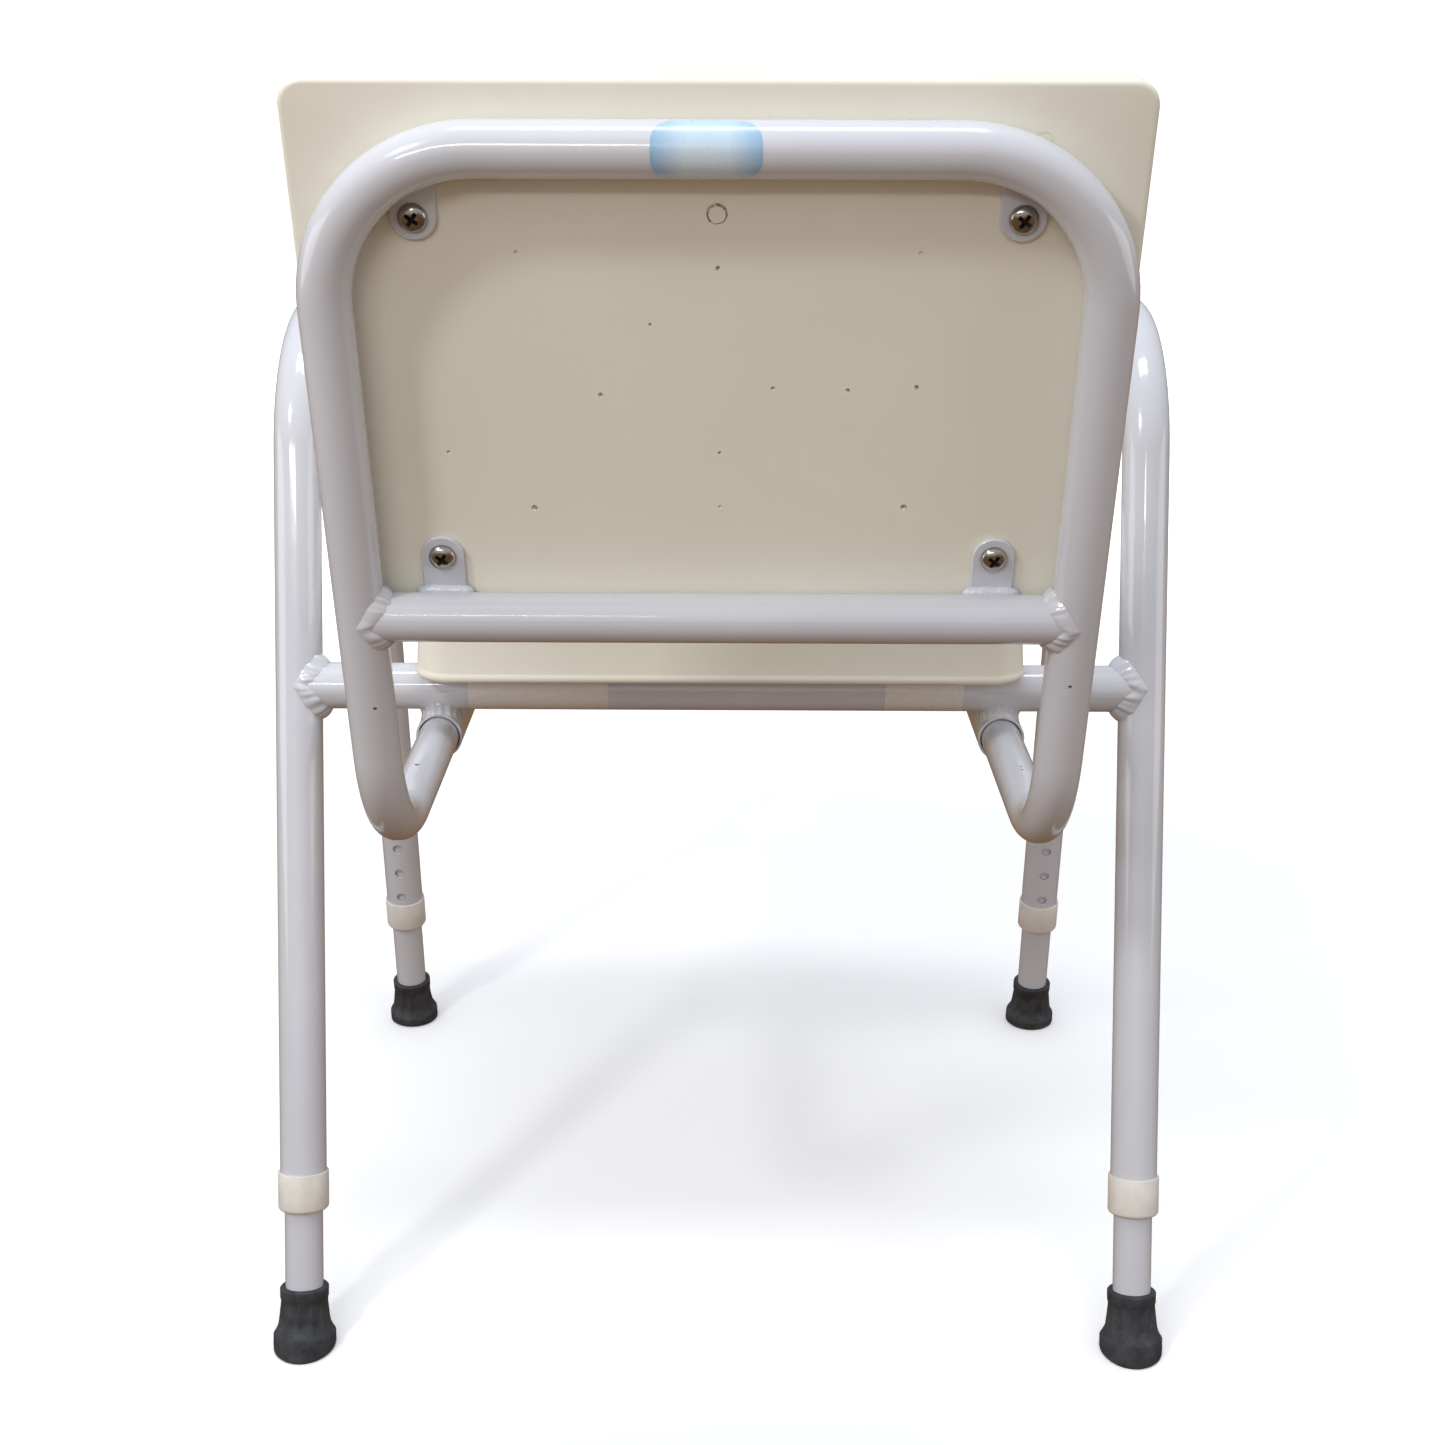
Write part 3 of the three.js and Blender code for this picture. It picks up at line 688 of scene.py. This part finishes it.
def seat_tabs():
    for corner, end, side in CORNERS:
        low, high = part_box(f"seat_tab_{corner}")
        place = lambda x, y, z, m=(low + high) / 2, z0=low.z: (m.x + x, m.y + y, z0 + z)
        vertices, faces = board(high.x - low.x, high.y - low.y, 4 * MM,
                                rounded_levels(high.z - low.z, 0.5 * MM, 0.5 * MM, steps=2), place)
        piece(f"seat_plate_{corner}", vertices, faces, "powder_coat", "frame", [f"seat_tab_{corner}"])
        bar_y = middle(f"{end}_crossbar").y
        sign = 1 if (low.y + high.y) / 2 > bar_y else -1
        root = [(low.x + (high.x - low.x) * t / 20, bar_y + sign * 11.4 * MM, low.z - 0.6 * MM)
                for t in range(21)]
        bead(f"weld_seat_plate_{corner}", root, "frame", 1.8 * MM, len(corner))


def collar(corner):
    low = leg_spot(corner, button_at(corner) - BUTTON_TO_END - 3.5 * MM)
    up = -Vector(joint(f"leg_{corner}_height")["axis"])
    outer, hold, neck, lip, tall = 17.4 * MM, FRAME_R + 0.15 * MM, LEG_R + 0.15 * MM, 3.2 * MM, 27 * MM
    outline = [(neck, 0.6 * MM), (neck + 0.6 * MM, 0)]
    for step in range(7):
        a = math.pi / 2 * step / 6
        outline.append((outer - 2.6 * MM * (1 - math.sin(a)), 2.6 * MM * (1 - math.cos(a))))
    outline += [(outer, tall - 0.9 * MM), (outer - 0.3 * MM, tall - 0.3 * MM), (outer - 0.9 * MM, tall),
                (hold + 0.1 * MM, tall), (hold, tall - 0.3 * MM), (hold, lip), (neck, lip)]
    piece(f"collar_{corner}", *closed_turned(low, up, outline), "collar_plastic", "frame",
          [f"leg_collar_{corner}"])


# ---- Seat -----------------------------------------------------------------------------------
def seat():
    low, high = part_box("seat")
    width, depth, tall = high - low
    centre = (low + high) / 2
    place = lambda x, y, z: (centre.x + x, centre.y + y, low.z + z)
    levels = [(8 * MM, 1.5 * MM), (6.5 * MM, 0.4 * MM), (4.5 * MM, 0)]
    levels += [(4.5 * MM * (1 - math.sin(a)), 3.2 * MM * (1 - math.cos(a)))
               for a in (math.pi / 12 * s for s in range(1, 7))]
    levels += [(0.15 * MM, 5 * MM), (0.9 * MM, 6.2 * MM), (1.2 * MM, 7.5 * MM)]
    levels += [(2.6 * MM + 5 * MM * (1 - math.cos(a)), tall - 5 * MM * (1 - math.sin(a)))
               for a in (math.pi / 12 * s for s in range(0, 7))]
    levels += [(11 * MM, tall - 0.05 * MM), (15 * MM, tall - 0.5 * MM), (20 * MM, tall - 1.0 * MM)]
    vertices, faces = board(width, depth, 27 * MM, levels, place)
    made = piece("seat_board", vertices, faces, "moulded_board", "frame", ["seat"], sharp=40)
    cutters = []
    for dx, dy in ((0, 0), (1, 1), (1, -1), (-1, 1), (-1, -1)):
        x, y = centre.x + dx * 70 * MM, centre.y + dy * 70 * MM
        cutters.append(loose(*turned((x, y, low.z - 5 * MM), (0, 0, 1), [
            (0, 0), (5 * MM, 0), (5 * MM, tall + 2.5 * MM), (6.5 * MM, tall + 3.8 * MM),
            (6.8 * MM, tall + 8 * MM), (0, tall + 8 * MM)], 32)))
    cut(made, cutters, 40)


# ---- Screws -----------------------------------------------------------------------------------
def pan_screw(name, seat_point, inward, length, body, node, angle=35):
    """Pan-head screw with a cross recess; the head sits on seat_point and the shank runs inward."""
    rise, brim = 4.2 * MM, 0.6 * MM
    outline = [(0, -rise)]
    for step in range(1, 9):
        a = math.pi / 2 * step / 8
        outline.append((SCREW_HEAD * math.sin(a) ** 0.9, -brim - (rise - brim) * math.cos(a)))
    outline += [(SCREW_HEAD, -0.2 * MM), (SCREW_HEAD - 0.2 * MM, 0), (3 * MM, 0),
                (3 * MM, length - 1.5 * MM), (1.2 * MM, length), (0, length)]
    made = piece(name, *turned(seat_point, inward, outline, 40), "screw_steel", body, [node])
    one, two = across_axes(inward)
    inward = Vector(inward).normalized()
    cutters = []
    for turn in (math.radians(angle), math.radians(angle + 90)):
        along = one * math.cos(turn) + two * math.sin(turn)
        over = inward.cross(along)
        corners = []
        for depth, half, wide in ((-rise - 1 * MM, 5.0 * MM, 1.15 * MM),
                                  (-rise + 3 * MM, 1.6 * MM, 0.7 * MM)):
            for a, b in ((1, 1), (-1, 1), (-1, -1), (1, -1)):
                corners.append(Vector(seat_point) + inward * depth + along * (a * half) + over * (b * wide))
        cutters.append(loose(corners, [(0, 1, 2, 3), (7, 6, 5, 4), (0, 4, 5, 1), (1, 5, 6, 2),
                                       (2, 6, 7, 3), (3, 7, 4, 0)]))
    cut(made, cutters)
    # Faces inside the cross recess take the dark second material: painted shade.
    made.data.materials.append(LOOKS["screw_recess"])
    for face in made.data.polygons:
        offset = face.center - Vector(seat_point)
        depth = offset.dot(inward)
        dome = math.sqrt(max(0, 1 - ((offset - inward * depth).length / SCREW_HEAD) ** 2))
        below_dome = -brim - (rise - brim) * dome + 0.45 * MM
        if below_dome < depth < -0.3 * MM:
            face.material_index = 1


def seat_screws():
    for corner, _, _ in CORNERS:
        low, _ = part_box(f"seat_screw_{corner}")
        spot = middle(f"seat_screw_{corner}")
        pan_screw(f"screw_seat_{corner}", (spot.x, spot.y, low.z + 4.2 * MM), (0, 0, 1), 16 * MM,
                  "frame", f"seat_screw_{corner}")


# ---- Legs ------------------------------------------------------------------------------------
def inner_leg(corner):
    body = f"leg_{corner}"
    foot, up = MOUNTS[f"foot_{corner}"], -Vector(joint(f"leg_{corner}_height")["axis"])
    path = bent_path([foot + up * 12 * MM, foot + up * 268 * MM], [])
    tube = piece(f"inner_tube_{corner}", *pipe(path, LEG_R, LEG_R - LEG_WALL), "powder_coat", body,
                 [f"leg_tube_{corner}"])
    spot = leg_spot(corner, button_at(corner))
    cut(tube, [rod(spot, spot + button_out(corner) * LEG_R * 1.3, HOLE_RADIUS)])


def rubber_foot(corner):
    """A flared ferrule: plain neck, flat flutes, a step ring and a plain base, cut level below."""
    foot, up = MOUNTS[f"foot_{corner}"], -Vector(joint(f"leg_{corner}_height")["axis"])
    bore, neck = LEG_R + 0.15 * MM, 16.3 * MM
    edge, base_top, step_top, flare_top = 1.4 * MM, 11 * MM, 14.5 * MM, 35 * MM
    outline = [(0, 0), (FOOT_RADIUS - 1.6 * MM, 0), (FOOT_RADIUS - 0.2 * MM, edge)]
    outline += [(FOOT_RADIUS, 3 * MM), (FOOT_RADIUS - 0.1 * MM, base_top - 0.8 * MM),
                (FOOT_RADIUS - 0.4 * MM, base_top - 0.2 * MM), (FOOT_RADIUS - 0.9 * MM, base_top + 0.3 * MM),
                (FOOT_RADIUS - 2.3 * MM, step_top - 0.4 * MM), (FOOT_RADIUS - 2.6 * MM, step_top)]
    for step in range(1, 9):
        t = step / 8
        radius = FOOT_RADIUS - 2.6 * MM - (FOOT_RADIUS - 2.6 * MM - neck) * t ** 0.75
        outline.append((radius, step_top + (flare_top - step_top) * t))
    top = FOOT_HEIGHT
    outline += [(neck + 0.4 * MM, flare_top + 0.8 * MM), (neck + 0.5 * MM, top - 1.2 * MM),
                (neck - 0.3 * MM, top - 0.2 * MM), (neck - 1.2 * MM, top), (bore + 0.3 * MM, top),
                (bore, top - 0.4 * MM), (bore, 9 * MM), (0, 9 * MM)]

    def flats(angle, along):
        fade = min(1.0, max(0.0, (along - step_top) / (4 * MM)), max(0.0, (flare_top - along) / (5 * MM)))
        local = (angle * FERRULE_FLUTES / (2 * math.pi)) % 1.0 - 0.5
        return 1 - 0.07 * fade * (1 - (2 * local) ** 2)

    vertices, faces = turned(foot, up, outline, FERRULE_SIDES, flats)
    lowest = edge + 0.2 * MM
    for i in range(1, len(vertices)):
        level = vertices[i].z
        if i <= FERRULE_SIDES:
            level = 0.0
        elif i <= 2 * FERRULE_SIDES:
            level = edge
        elif level < lowest:
            level = lowest
        if level != vertices[i].z:
            vertices[i] = vertices[i] + up * ((level - vertices[i].z) / up.z)
    piece(f"ferrule_{corner}", vertices, faces, "foot_rubber", f"leg_{corner}", [f"rubber_foot_{corner}"], 28)


def snap_button(name, centre, out, body, node, tip):
    radius, base = 3.8 * MM, 7.5 * MM
    outline = [(0, base), (radius - 0.3 * MM, base), (radius, base + 0.3 * MM), (radius, tip - 2.2 * MM)]
    for step in range(1, 8):
        a = math.pi / 2 * step / 7
        outline.append((radius * math.cos(a), tip - 2.2 * MM * (1 - math.sin(a))))
    outline[-1] = (0, tip)
    piece(name, *turned(centre, out, outline, 32), "screw_steel", body, [node])


# ---- Backrest -----------------------------------------------------------------------------------
def back_tube():
    rear_y = BACK_POINT.y + (RAIL.z - BACK_POINT.z) * BACK_UP.y / BACK_UP.z
    top_y = BACK_POINT.y + (BACK_TOP_Z - BACK_POINT.z) * BACK_UP.y / BACK_UP.z
    profile = ((BACK_LOW.y, RAIL.z), (rear_y, RAIL.z), (top_y, BACK_TOP_Z))
    corners = [(BACK_X, y, z) for y, z in profile] + [(-BACK_X, y, z) for y, z in profile[::-1]]
    bends = [SOCKET_BEND, BACK_CORNER, BACK_CORNER, SOCKET_BEND]
    tube = piece("back_loop_tube", *pipe(bent_path(corners, bends), BACK_R, BACK_R - BACK_WALL),
                 "powder_coat", "backrest", ["back_tube"])
    cutters = []
    for side, sign in SIDES:
        spot = middle(f"back_button_{side}")
        hub = Vector((sign * BACK_X, spot.y, RAIL.z))
        cutters.append(rod(hub, hub - Vector((0, 0, BACK_R * 1.3)), HOLE_RADIUS))
        vent_across, vent_up = VENTS[side]
        vent = back_spot(sign * BACK_X + vent_across, 0, vent_up)
        cutters.append(rod(vent, vent + BACK_REAR * BACK_R * 1.2, VENT_RADIUS, 16))
        for y, radius in PLUG_MARKS[side]:
            mark = Vector((sign * BACK_X, y, RAIL.z))
            cutters.append(rod(mark, mark + Vector((0, 0.25, 1)) * BACK_R * 1.2, radius, 16))
    cut(tube, cutters)


def back_cross():
    path = bent_path([back_spot(-BACK_X + 1 * MM, 0, 0), back_spot(BACK_X - 1 * MM, 0, 0)], [])
    bar = piece("back_cross_bar", *pipe(path, BACK_R, BACK_R - BACK_WALL), "powder_coat", "backrest",
                ["back_cross_tube"])
    cutters = []
    for _, sign in SIDES:
        hub = back_spot(sign * BACK_X, 0, 0)
        cutters.append(rod(hub - BACK_UP * 0.05, hub + BACK_UP * 0.05, BACK_R - 0.4 * MM, TUBE_SIDES))
    cut(bar, cutters)
    for index, (side, sign) in enumerate(SIDES):
        hub = back_spot(sign * BACK_X, 0, 0)
        fillet(f"weld_cross_{side}", "backrest", hub, Vector((-sign, 0, 0)), BACK_UP, BACK_R, BACK_R,
               5 * MM, 20 + 5 * index)


def back_tab(level, side, sign):
    """A round-ended welded tab, with a bead at its root."""
    corner = f"{level}_{side}"
    screw = back_local(middle(f"back_screw_{corner}"))
    half, down = 11.5 * MM, -1 if level == "lower" else 1
    reach = 26 * MM if level == "lower" else 17.5 * MM
    outline = []
    for step in range(25):
        a = math.pi * step / 24
        outline.append((half * math.cos(a), -down * half * math.sin(a)))
    outline += [(-half, down * reach), (half, down * reach)]
    vertices, count = [], len(outline)
    for inset, rear in ((0.5 * MM, 0), (0, 0.5 * MM), (0, TAB_PLATE - 0.6 * MM), (0.6 * MM, TAB_PLATE)):
        shrink = 1 - inset / half
        vertices += [back_spot(screw[0] + x * shrink, -BACK_R + rear, screw[2] + y * shrink)
                     for x, y in outline]
    faces = band_faces(4, count, False) + [tuple(range(count))[::-1], tuple(range(3 * count, 4 * count))]
    piece(f"back_plate_{corner}", vertices, faces, "powder_coat", "backrest", [f"back_tab_{corner}"], 45)
    if level == "lower":
        root = [back_spot(screw[0] + half * 1.34 * t / 12, -BACK_R + TAB_PLATE - 0.2 * MM,
                          11.0 * MM - 1.6 * MM * (t / 12) ** 4)
                for t in range(-12, 13)]
        bead(f"weld_plate_{corner}", root, "backrest", 3.2 * MM, 31 + sign)
    else:
        root = []
        top_up = back_local((0, BACK_HIGH.y - BACK_R, BACK_TOP_Z))[2]
        hub = (sign * (BACK_X - BACK_CORNER), top_up - BACK_CORNER)
        for t in range(25):
            x = screw[0] + half * 1.15 * (t / 12 - 1)
            rise = math.sqrt((BACK_CORNER - 10 * MM) ** 2 - (x - hub[0]) ** 2)
            root.append(back_spot(x, -BACK_R + TAB_PLATE + 0.2 * MM, hub[1] + rise))
        bead(f"weld_plate_{corner}", root, "backrest", 2.0 * MM, 41 + sign)


def back_panel():
    """The moulded back board, with the small pits and moulding marks of its rear face."""
    low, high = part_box("back_panel")
    corners = [back_local(v.co) for v in frame["nodes"]["back_panel"].data.vertices]
    bottom, top = min(c[2] for c in corners), max(c[2] for c in corners)
    face, front = max(c[1] for c in corners), min(c[1] for c in corners)
    width, height, mid = high.x - low.x, top - bottom, (top + bottom) / 2
    place = lambda x, y, z: back_spot(x, face - z, mid + y)
    levels = rounded_levels(face - front, 3 * MM, 5 * MM, draft=1.2 * MM)
    vertices, faces = board(width, height, 13 * MM, levels, place)
    made = piece("back_board", vertices, faces, "moulded_board", "backrest", ["back_panel"], 40)
    cutters = []
    for x, up, radius, depth in PANEL_PITS:
        spot = back_spot(x * MM, face + radius * 0.8 * MM - depth * MM, top - up * MM)
        bpy.ops.mesh.primitive_uv_sphere_add(segments=16, ring_count=10, radius=radius * MM, location=spot)
        cutters.append(bpy.context.object)
    for x, up, outer, inner, depth in PANEL_RINGS:
        spot = back_spot(x * MM, face - depth * MM, top - up * MM)
        outline = [(outer * MM, 0), (outer * MM, 2 * MM), (inner * MM, 2 * MM), (inner * MM, 0)]
        vertices, faces = closed_turned(spot, BACK_REAR, outline, RING_SIDES)
        for i, vertex in enumerate(vertices):
            ragged = 0.35 * MM * noise.noise(vertex * 900)
            off_centre = 0.55 * MM if i >= 2 * RING_SIDES else 0.0
            vertices[i] = vertex + (vertex - spot).normalized() * ragged - BACK_UP * off_centre
        cutters.append(loose(vertices, faces))
    cut(made, cutters, 40)
    # Faces inside the pits and the first ring's groove take the dark second material: painted shade.
    made.data.materials.append(LOOKS["board_painted_shade"])
    marks = [(x, up, radius) for x, up, radius, _ in PANEL_PITS] + [PANEL_RINGS[0][:3]]
    deepest, shallowest, margin = 1.3 * MM, 0.12 * MM, 0.6
    for part in made.data.polygons:
        across, rear, rise = back_local(part.center)
        if face - deepest < rear < face - shallowest:
            for x, up, radius in marks:
                if math.hypot(across - x * MM, rise - top + up * MM) < (radius + margin) * MM:
                    part.material_index = 1


# ---- Labels --------------------------------------------------------------------------------------
def tube_label(name, low_x, high_x, centre, radius, start, stop, look, body, corner=4 * MM):
    """A thin rounded film wrapped on a tube that runs across; angles from straight up, rearwards."""
    rows, columns, film = 28, 24, 0.12 * MM
    arc = (stop - start) * radius
    vertices = []
    for lift in (film, 0.02 * MM):
        for row in range(rows + 1):
            along = arc * row / rows
            edge = min(along, arc - along)
            inset = corner - math.sqrt(max(corner ** 2 - (corner - edge) ** 2, 0)) if edge < corner else 0
            angle = start + along / radius
            y = centre.y + (radius + lift) * math.sin(angle)
            z = centre.z + (radius + lift) * math.cos(angle)
            for column in range(columns + 1):
                t = column / columns
                vertices.append((low_x + inset + (high_x - low_x - 2 * inset) * t, y, z))
    wide, layer = columns + 1, (rows + 1) * (columns + 1)
    faces = []
    for row in range(rows):
        for column in range(columns):
            a = row * wide + column
            faces.append((a, a + 1, a + wide + 1, a + wide))
            faces.append(tuple(layer + i for i in (a + wide, a + wide + 1, a + 1, a)))
    rim = [c for c in range(wide)] + [r * wide + columns for r in range(1, rows + 1)]
    rim += [rows * wide + c for c in range(columns - 1, -1, -1)] + [r * wide for r in range(rows - 1, 0, -1)]
    for a, b in zip(rim, rim[1:] + rim[:1]):
        faces.append((a, layer + a, layer + b, b))
    return piece(name, vertices, faces, look, body)


def labels():
    top = Vector((0, BACK_HIGH.y - BACK_R, BACK_TOP_Z))
    low_x, high_x = -20.8 * MM, 31.3 * MM
    LOOKS["blue_film"] = label_film(
        "blue_film", (0.5, 0.68, 0.86), (0.7, 0.82, 0.9), BACK_TOP_Z - 0.4 * BACK_R, BACK_TOP_Z + BACK_R,
        (0.27, 0.48, 0.71), low_x, high_x)
    tube_label("blank_blue_label", low_x, high_x, top, BACK_R, math.radians(14), math.radians(168),
               "blue_film", "backrest", 15 * MM)
    bar = middle("rear_crossbar")
    # Painted shade: the white film runs darker and warmer from the tube's top towards its underside.
    LOOKS["white_film_painted_shade"] = label_film(
        "white_film_painted_shade", (0.86, 0.84, 0.81), (0.78, 0.74, 0.69), BAR_Z - FRAME_R, BAR_Z)
    for name, low_x, high_x in (("blank_left_label", 76, 171), ("blank_right_label", -165, -112)):
        tube_label(name, low_x * MM, high_x * MM, bar, FRAME_R, math.radians(58), math.radians(148),
                   "white_film_painted_shade", "frame", 2 * MM)


# ---- Studio -----------------------------------------------------------------------------------------
def studio():
    """A round pale floor that curves up into a bright backdrop; bounce light comes from the world."""
    sweep_look = Look("studio_sweep", (0.93, 0.93, 0.935), 0.8)
    sweep_look.rough(sweep_look.grey(sweep_look.noise(3, 2), 0.75, 0.85))
    sweep_look.shader.inputs["Emission Color"].default_value = (1, 1, 1, 1)
    distance = sweep_look.node("VectorMath", operation="LENGTH")
    sweep_look.link(sweep_look.spot, distance.inputs[0])
    glow = sweep_look.grey(distance.outputs["Value"], 0.2, 1.0, 0.9, 3.0)
    sweep_look.link(glow, sweep_look.shader.inputs["Emission Strength"])
    radius, rise, top = 6.5, 1.5, 7.0
    profile = [(r, 0.0) for r in (0.0, 1.0, 2.0, 3.5, radius - rise)]
    profile += [(radius - rise + rise * math.sin(a), rise - rise * math.cos(a))
                for a in (math.pi / 24 * s for s in range(1, 13))]
    profile += [(radius, top)]
    vertices, faces = turned((0, 0, 0), (0, 0, 1), profile, 96)
    mesh = bpy.data.meshes.new("studio_sweep")
    mesh.from_pydata([tuple(v) for v in vertices], [], faces)
    mesh.shade_smooth()
    sweep = bpy.data.objects.new("studio_sweep", mesh)
    bpy.context.scene.collection.objects.link(sweep)
    mesh.materials.append(sweep_look.material)
    sweep.visible_diffuse = sweep.visible_glossy = sweep.visible_shadow = False


def area_light(name, spot, target, size, power):
    data = bpy.data.lights.new(name, "AREA")
    data.shape, data.size, data.size_y = "RECTANGLE", size[0], size[1]
    data.energy = power
    lamp = bpy.data.objects.new(name, data)
    lamp.location = spot
    lamp.rotation_mode = "QUATERNION"
    lamp.rotation_quaternion = (Vector(target) - Vector(spot)).to_track_quat("-Z", "Y")
    bpy.context.scene.collection.objects.link(lamp)


def lights():
    """Soft room light, bright and cool above, dim and warm below, and six lamps for form and highlights."""
    world = bpy.data.worlds.new("studio_world")
    bpy.context.scene.world = world
    world.use_nodes = True
    tree = world.node_tree
    spot = tree.nodes.new("ShaderNodeTexCoord")
    split = tree.nodes.new("ShaderNodeSeparateXYZ")
    ramp = tree.nodes.new("ShaderNodeValToRGB")
    half = tree.nodes.new("ShaderNodeMapRange")
    half.inputs["From Min"].default_value = -1
    tree.links.new(spot.outputs["Generated"], split.inputs["Vector"])
    tree.links.new(split.outputs["Z"], half.inputs["Value"])
    tree.links.new(half.outputs["Result"], ramp.inputs["Fac"])
    tree.links.new(ramp.outputs["Color"], tree.nodes["Background"].inputs["Color"])
    stops = [(0.0, (0.15, 0.08, 0.035)), (0.47, (0.23, 0.14, 0.07)), (0.53, (0.45, 0.45, 0.46)),
             (0.75, (0.63, 0.65, 0.7)), (1.0, (0.66, 0.7, 0.77))]
    while len(ramp.color_ramp.elements) < len(stops):
        ramp.color_ramp.elements.new(0.5)
    for element, (place, color) in zip(ramp.color_ramp.elements, stops):
        element.position, element.color = place, (*color, 1)
    tree.nodes["Background"].inputs["Strength"].default_value = 1.0
    area_light("key", (1.11, 1.28, 1.89), (0, 0.3, 0.7), (0.2, 0.2), 11)
    area_light("overhead", (0, 0.4, 3.0), (0, 0.15, 0.3), (1.4, 0.5), 21)
    area_light("strip", (0.75, 2.4, 1.55), (0.1, 0.28, 0.57), (1.3, 0.12), 9)
    area_light("fill", (0.5, 3.2, 0.7), (0, 0, 0.6), (3.0, 0.8), 2)
    area_light("left_wall", (3.2, 0.7, 0.7), (0, 0, 0.45), (2.2, 1.2), 13)
    area_light("right_wall", (-3.2, 0.7, 0.7), (0, 0, 0.45), (2.2, 1.2), 11)
    view = bpy.context.scene.view_settings
    view.view_transform = "Standard"
    view.look = "None"
    view.exposure = 0.0


def camera():
    data = bpy.data.cameras.new("camera")
    data.sensor_width = 36
    data.lens = 36 * FOCAL_WIDTHS
    made = bpy.data.objects.new("camera", data)
    made.location = CAMERA_AT
    aim = (Matrix.Rotation(math.radians(180 + CAMERA_TURN), 3, "Z")
           @ Matrix.Rotation(math.radians(90 - CAMERA_DOWN), 3, "X")
           @ Matrix.Rotation(math.radians(CAMERA_ROLL), 3, "Z"))
    made.rotation_euler = aim.to_euler()
    bpy.context.scene.collection.objects.link(made)
    bpy.context.scene.camera = made


# ---- Everything ---------------------------------------------------------------------------------------
camera()
studio()
lights()
for side_name, side_sign in SIDES:
    side_frame(side_name, side_sign)
    socket_rail(side_name, side_sign)
for end_name in ENDS:
    crossbar(end_name)
seat_tabs()
seat_screws()
seat()
for corner_name, _, _ in CORNERS:
    collar(corner_name)
    inner_leg(corner_name)
    rubber_foot(corner_name)
    button = f"leg_button_{corner_name}"
    snap_button(f"button_{corner_name}", leg_spot(corner_name, button_at(corner_name)),
                button_out(corner_name), button, button, FRAME_R + BUTTON_PROUD)
back_tube()
back_cross()
back_panel()
for side_name, side_sign in SIDES:
    for level_name in ("upper", "lower"):
        back_tab(level_name, side_name, side_sign)
        tab_corner = f"{level_name}_{side_name}"
        spot_x, _, spot_up = back_local(middle(f"back_screw_{tab_corner}"))
        head_spot = back_spot(spot_x, -BACK_R + TAB_PLATE + GAP, spot_up)
        pan_screw(f"screw_back_{tab_corner}", head_spot, -BACK_REAR, 17 * MM, "backrest",
                  f"back_screw_{tab_corner}")
    button = f"back_button_{side_name}"
    button_spot = middle(button)
    snap_button(f"plug_button_{side_name}", Vector((button_spot.x, button_spot.y, RAIL.z)),
                Vector((0, 0, -1)), button, button, FRAME_R + BUTTON_PROUD)
labels()
for node_name, node in frame["nodes"].items():
    for word, look_name in (("washer", "screw_steel"), ("spring", "spring_steel")):
        if word in node_name:
            node.data.materials.clear()
            node.data.materials.append(LOOKS[look_name])
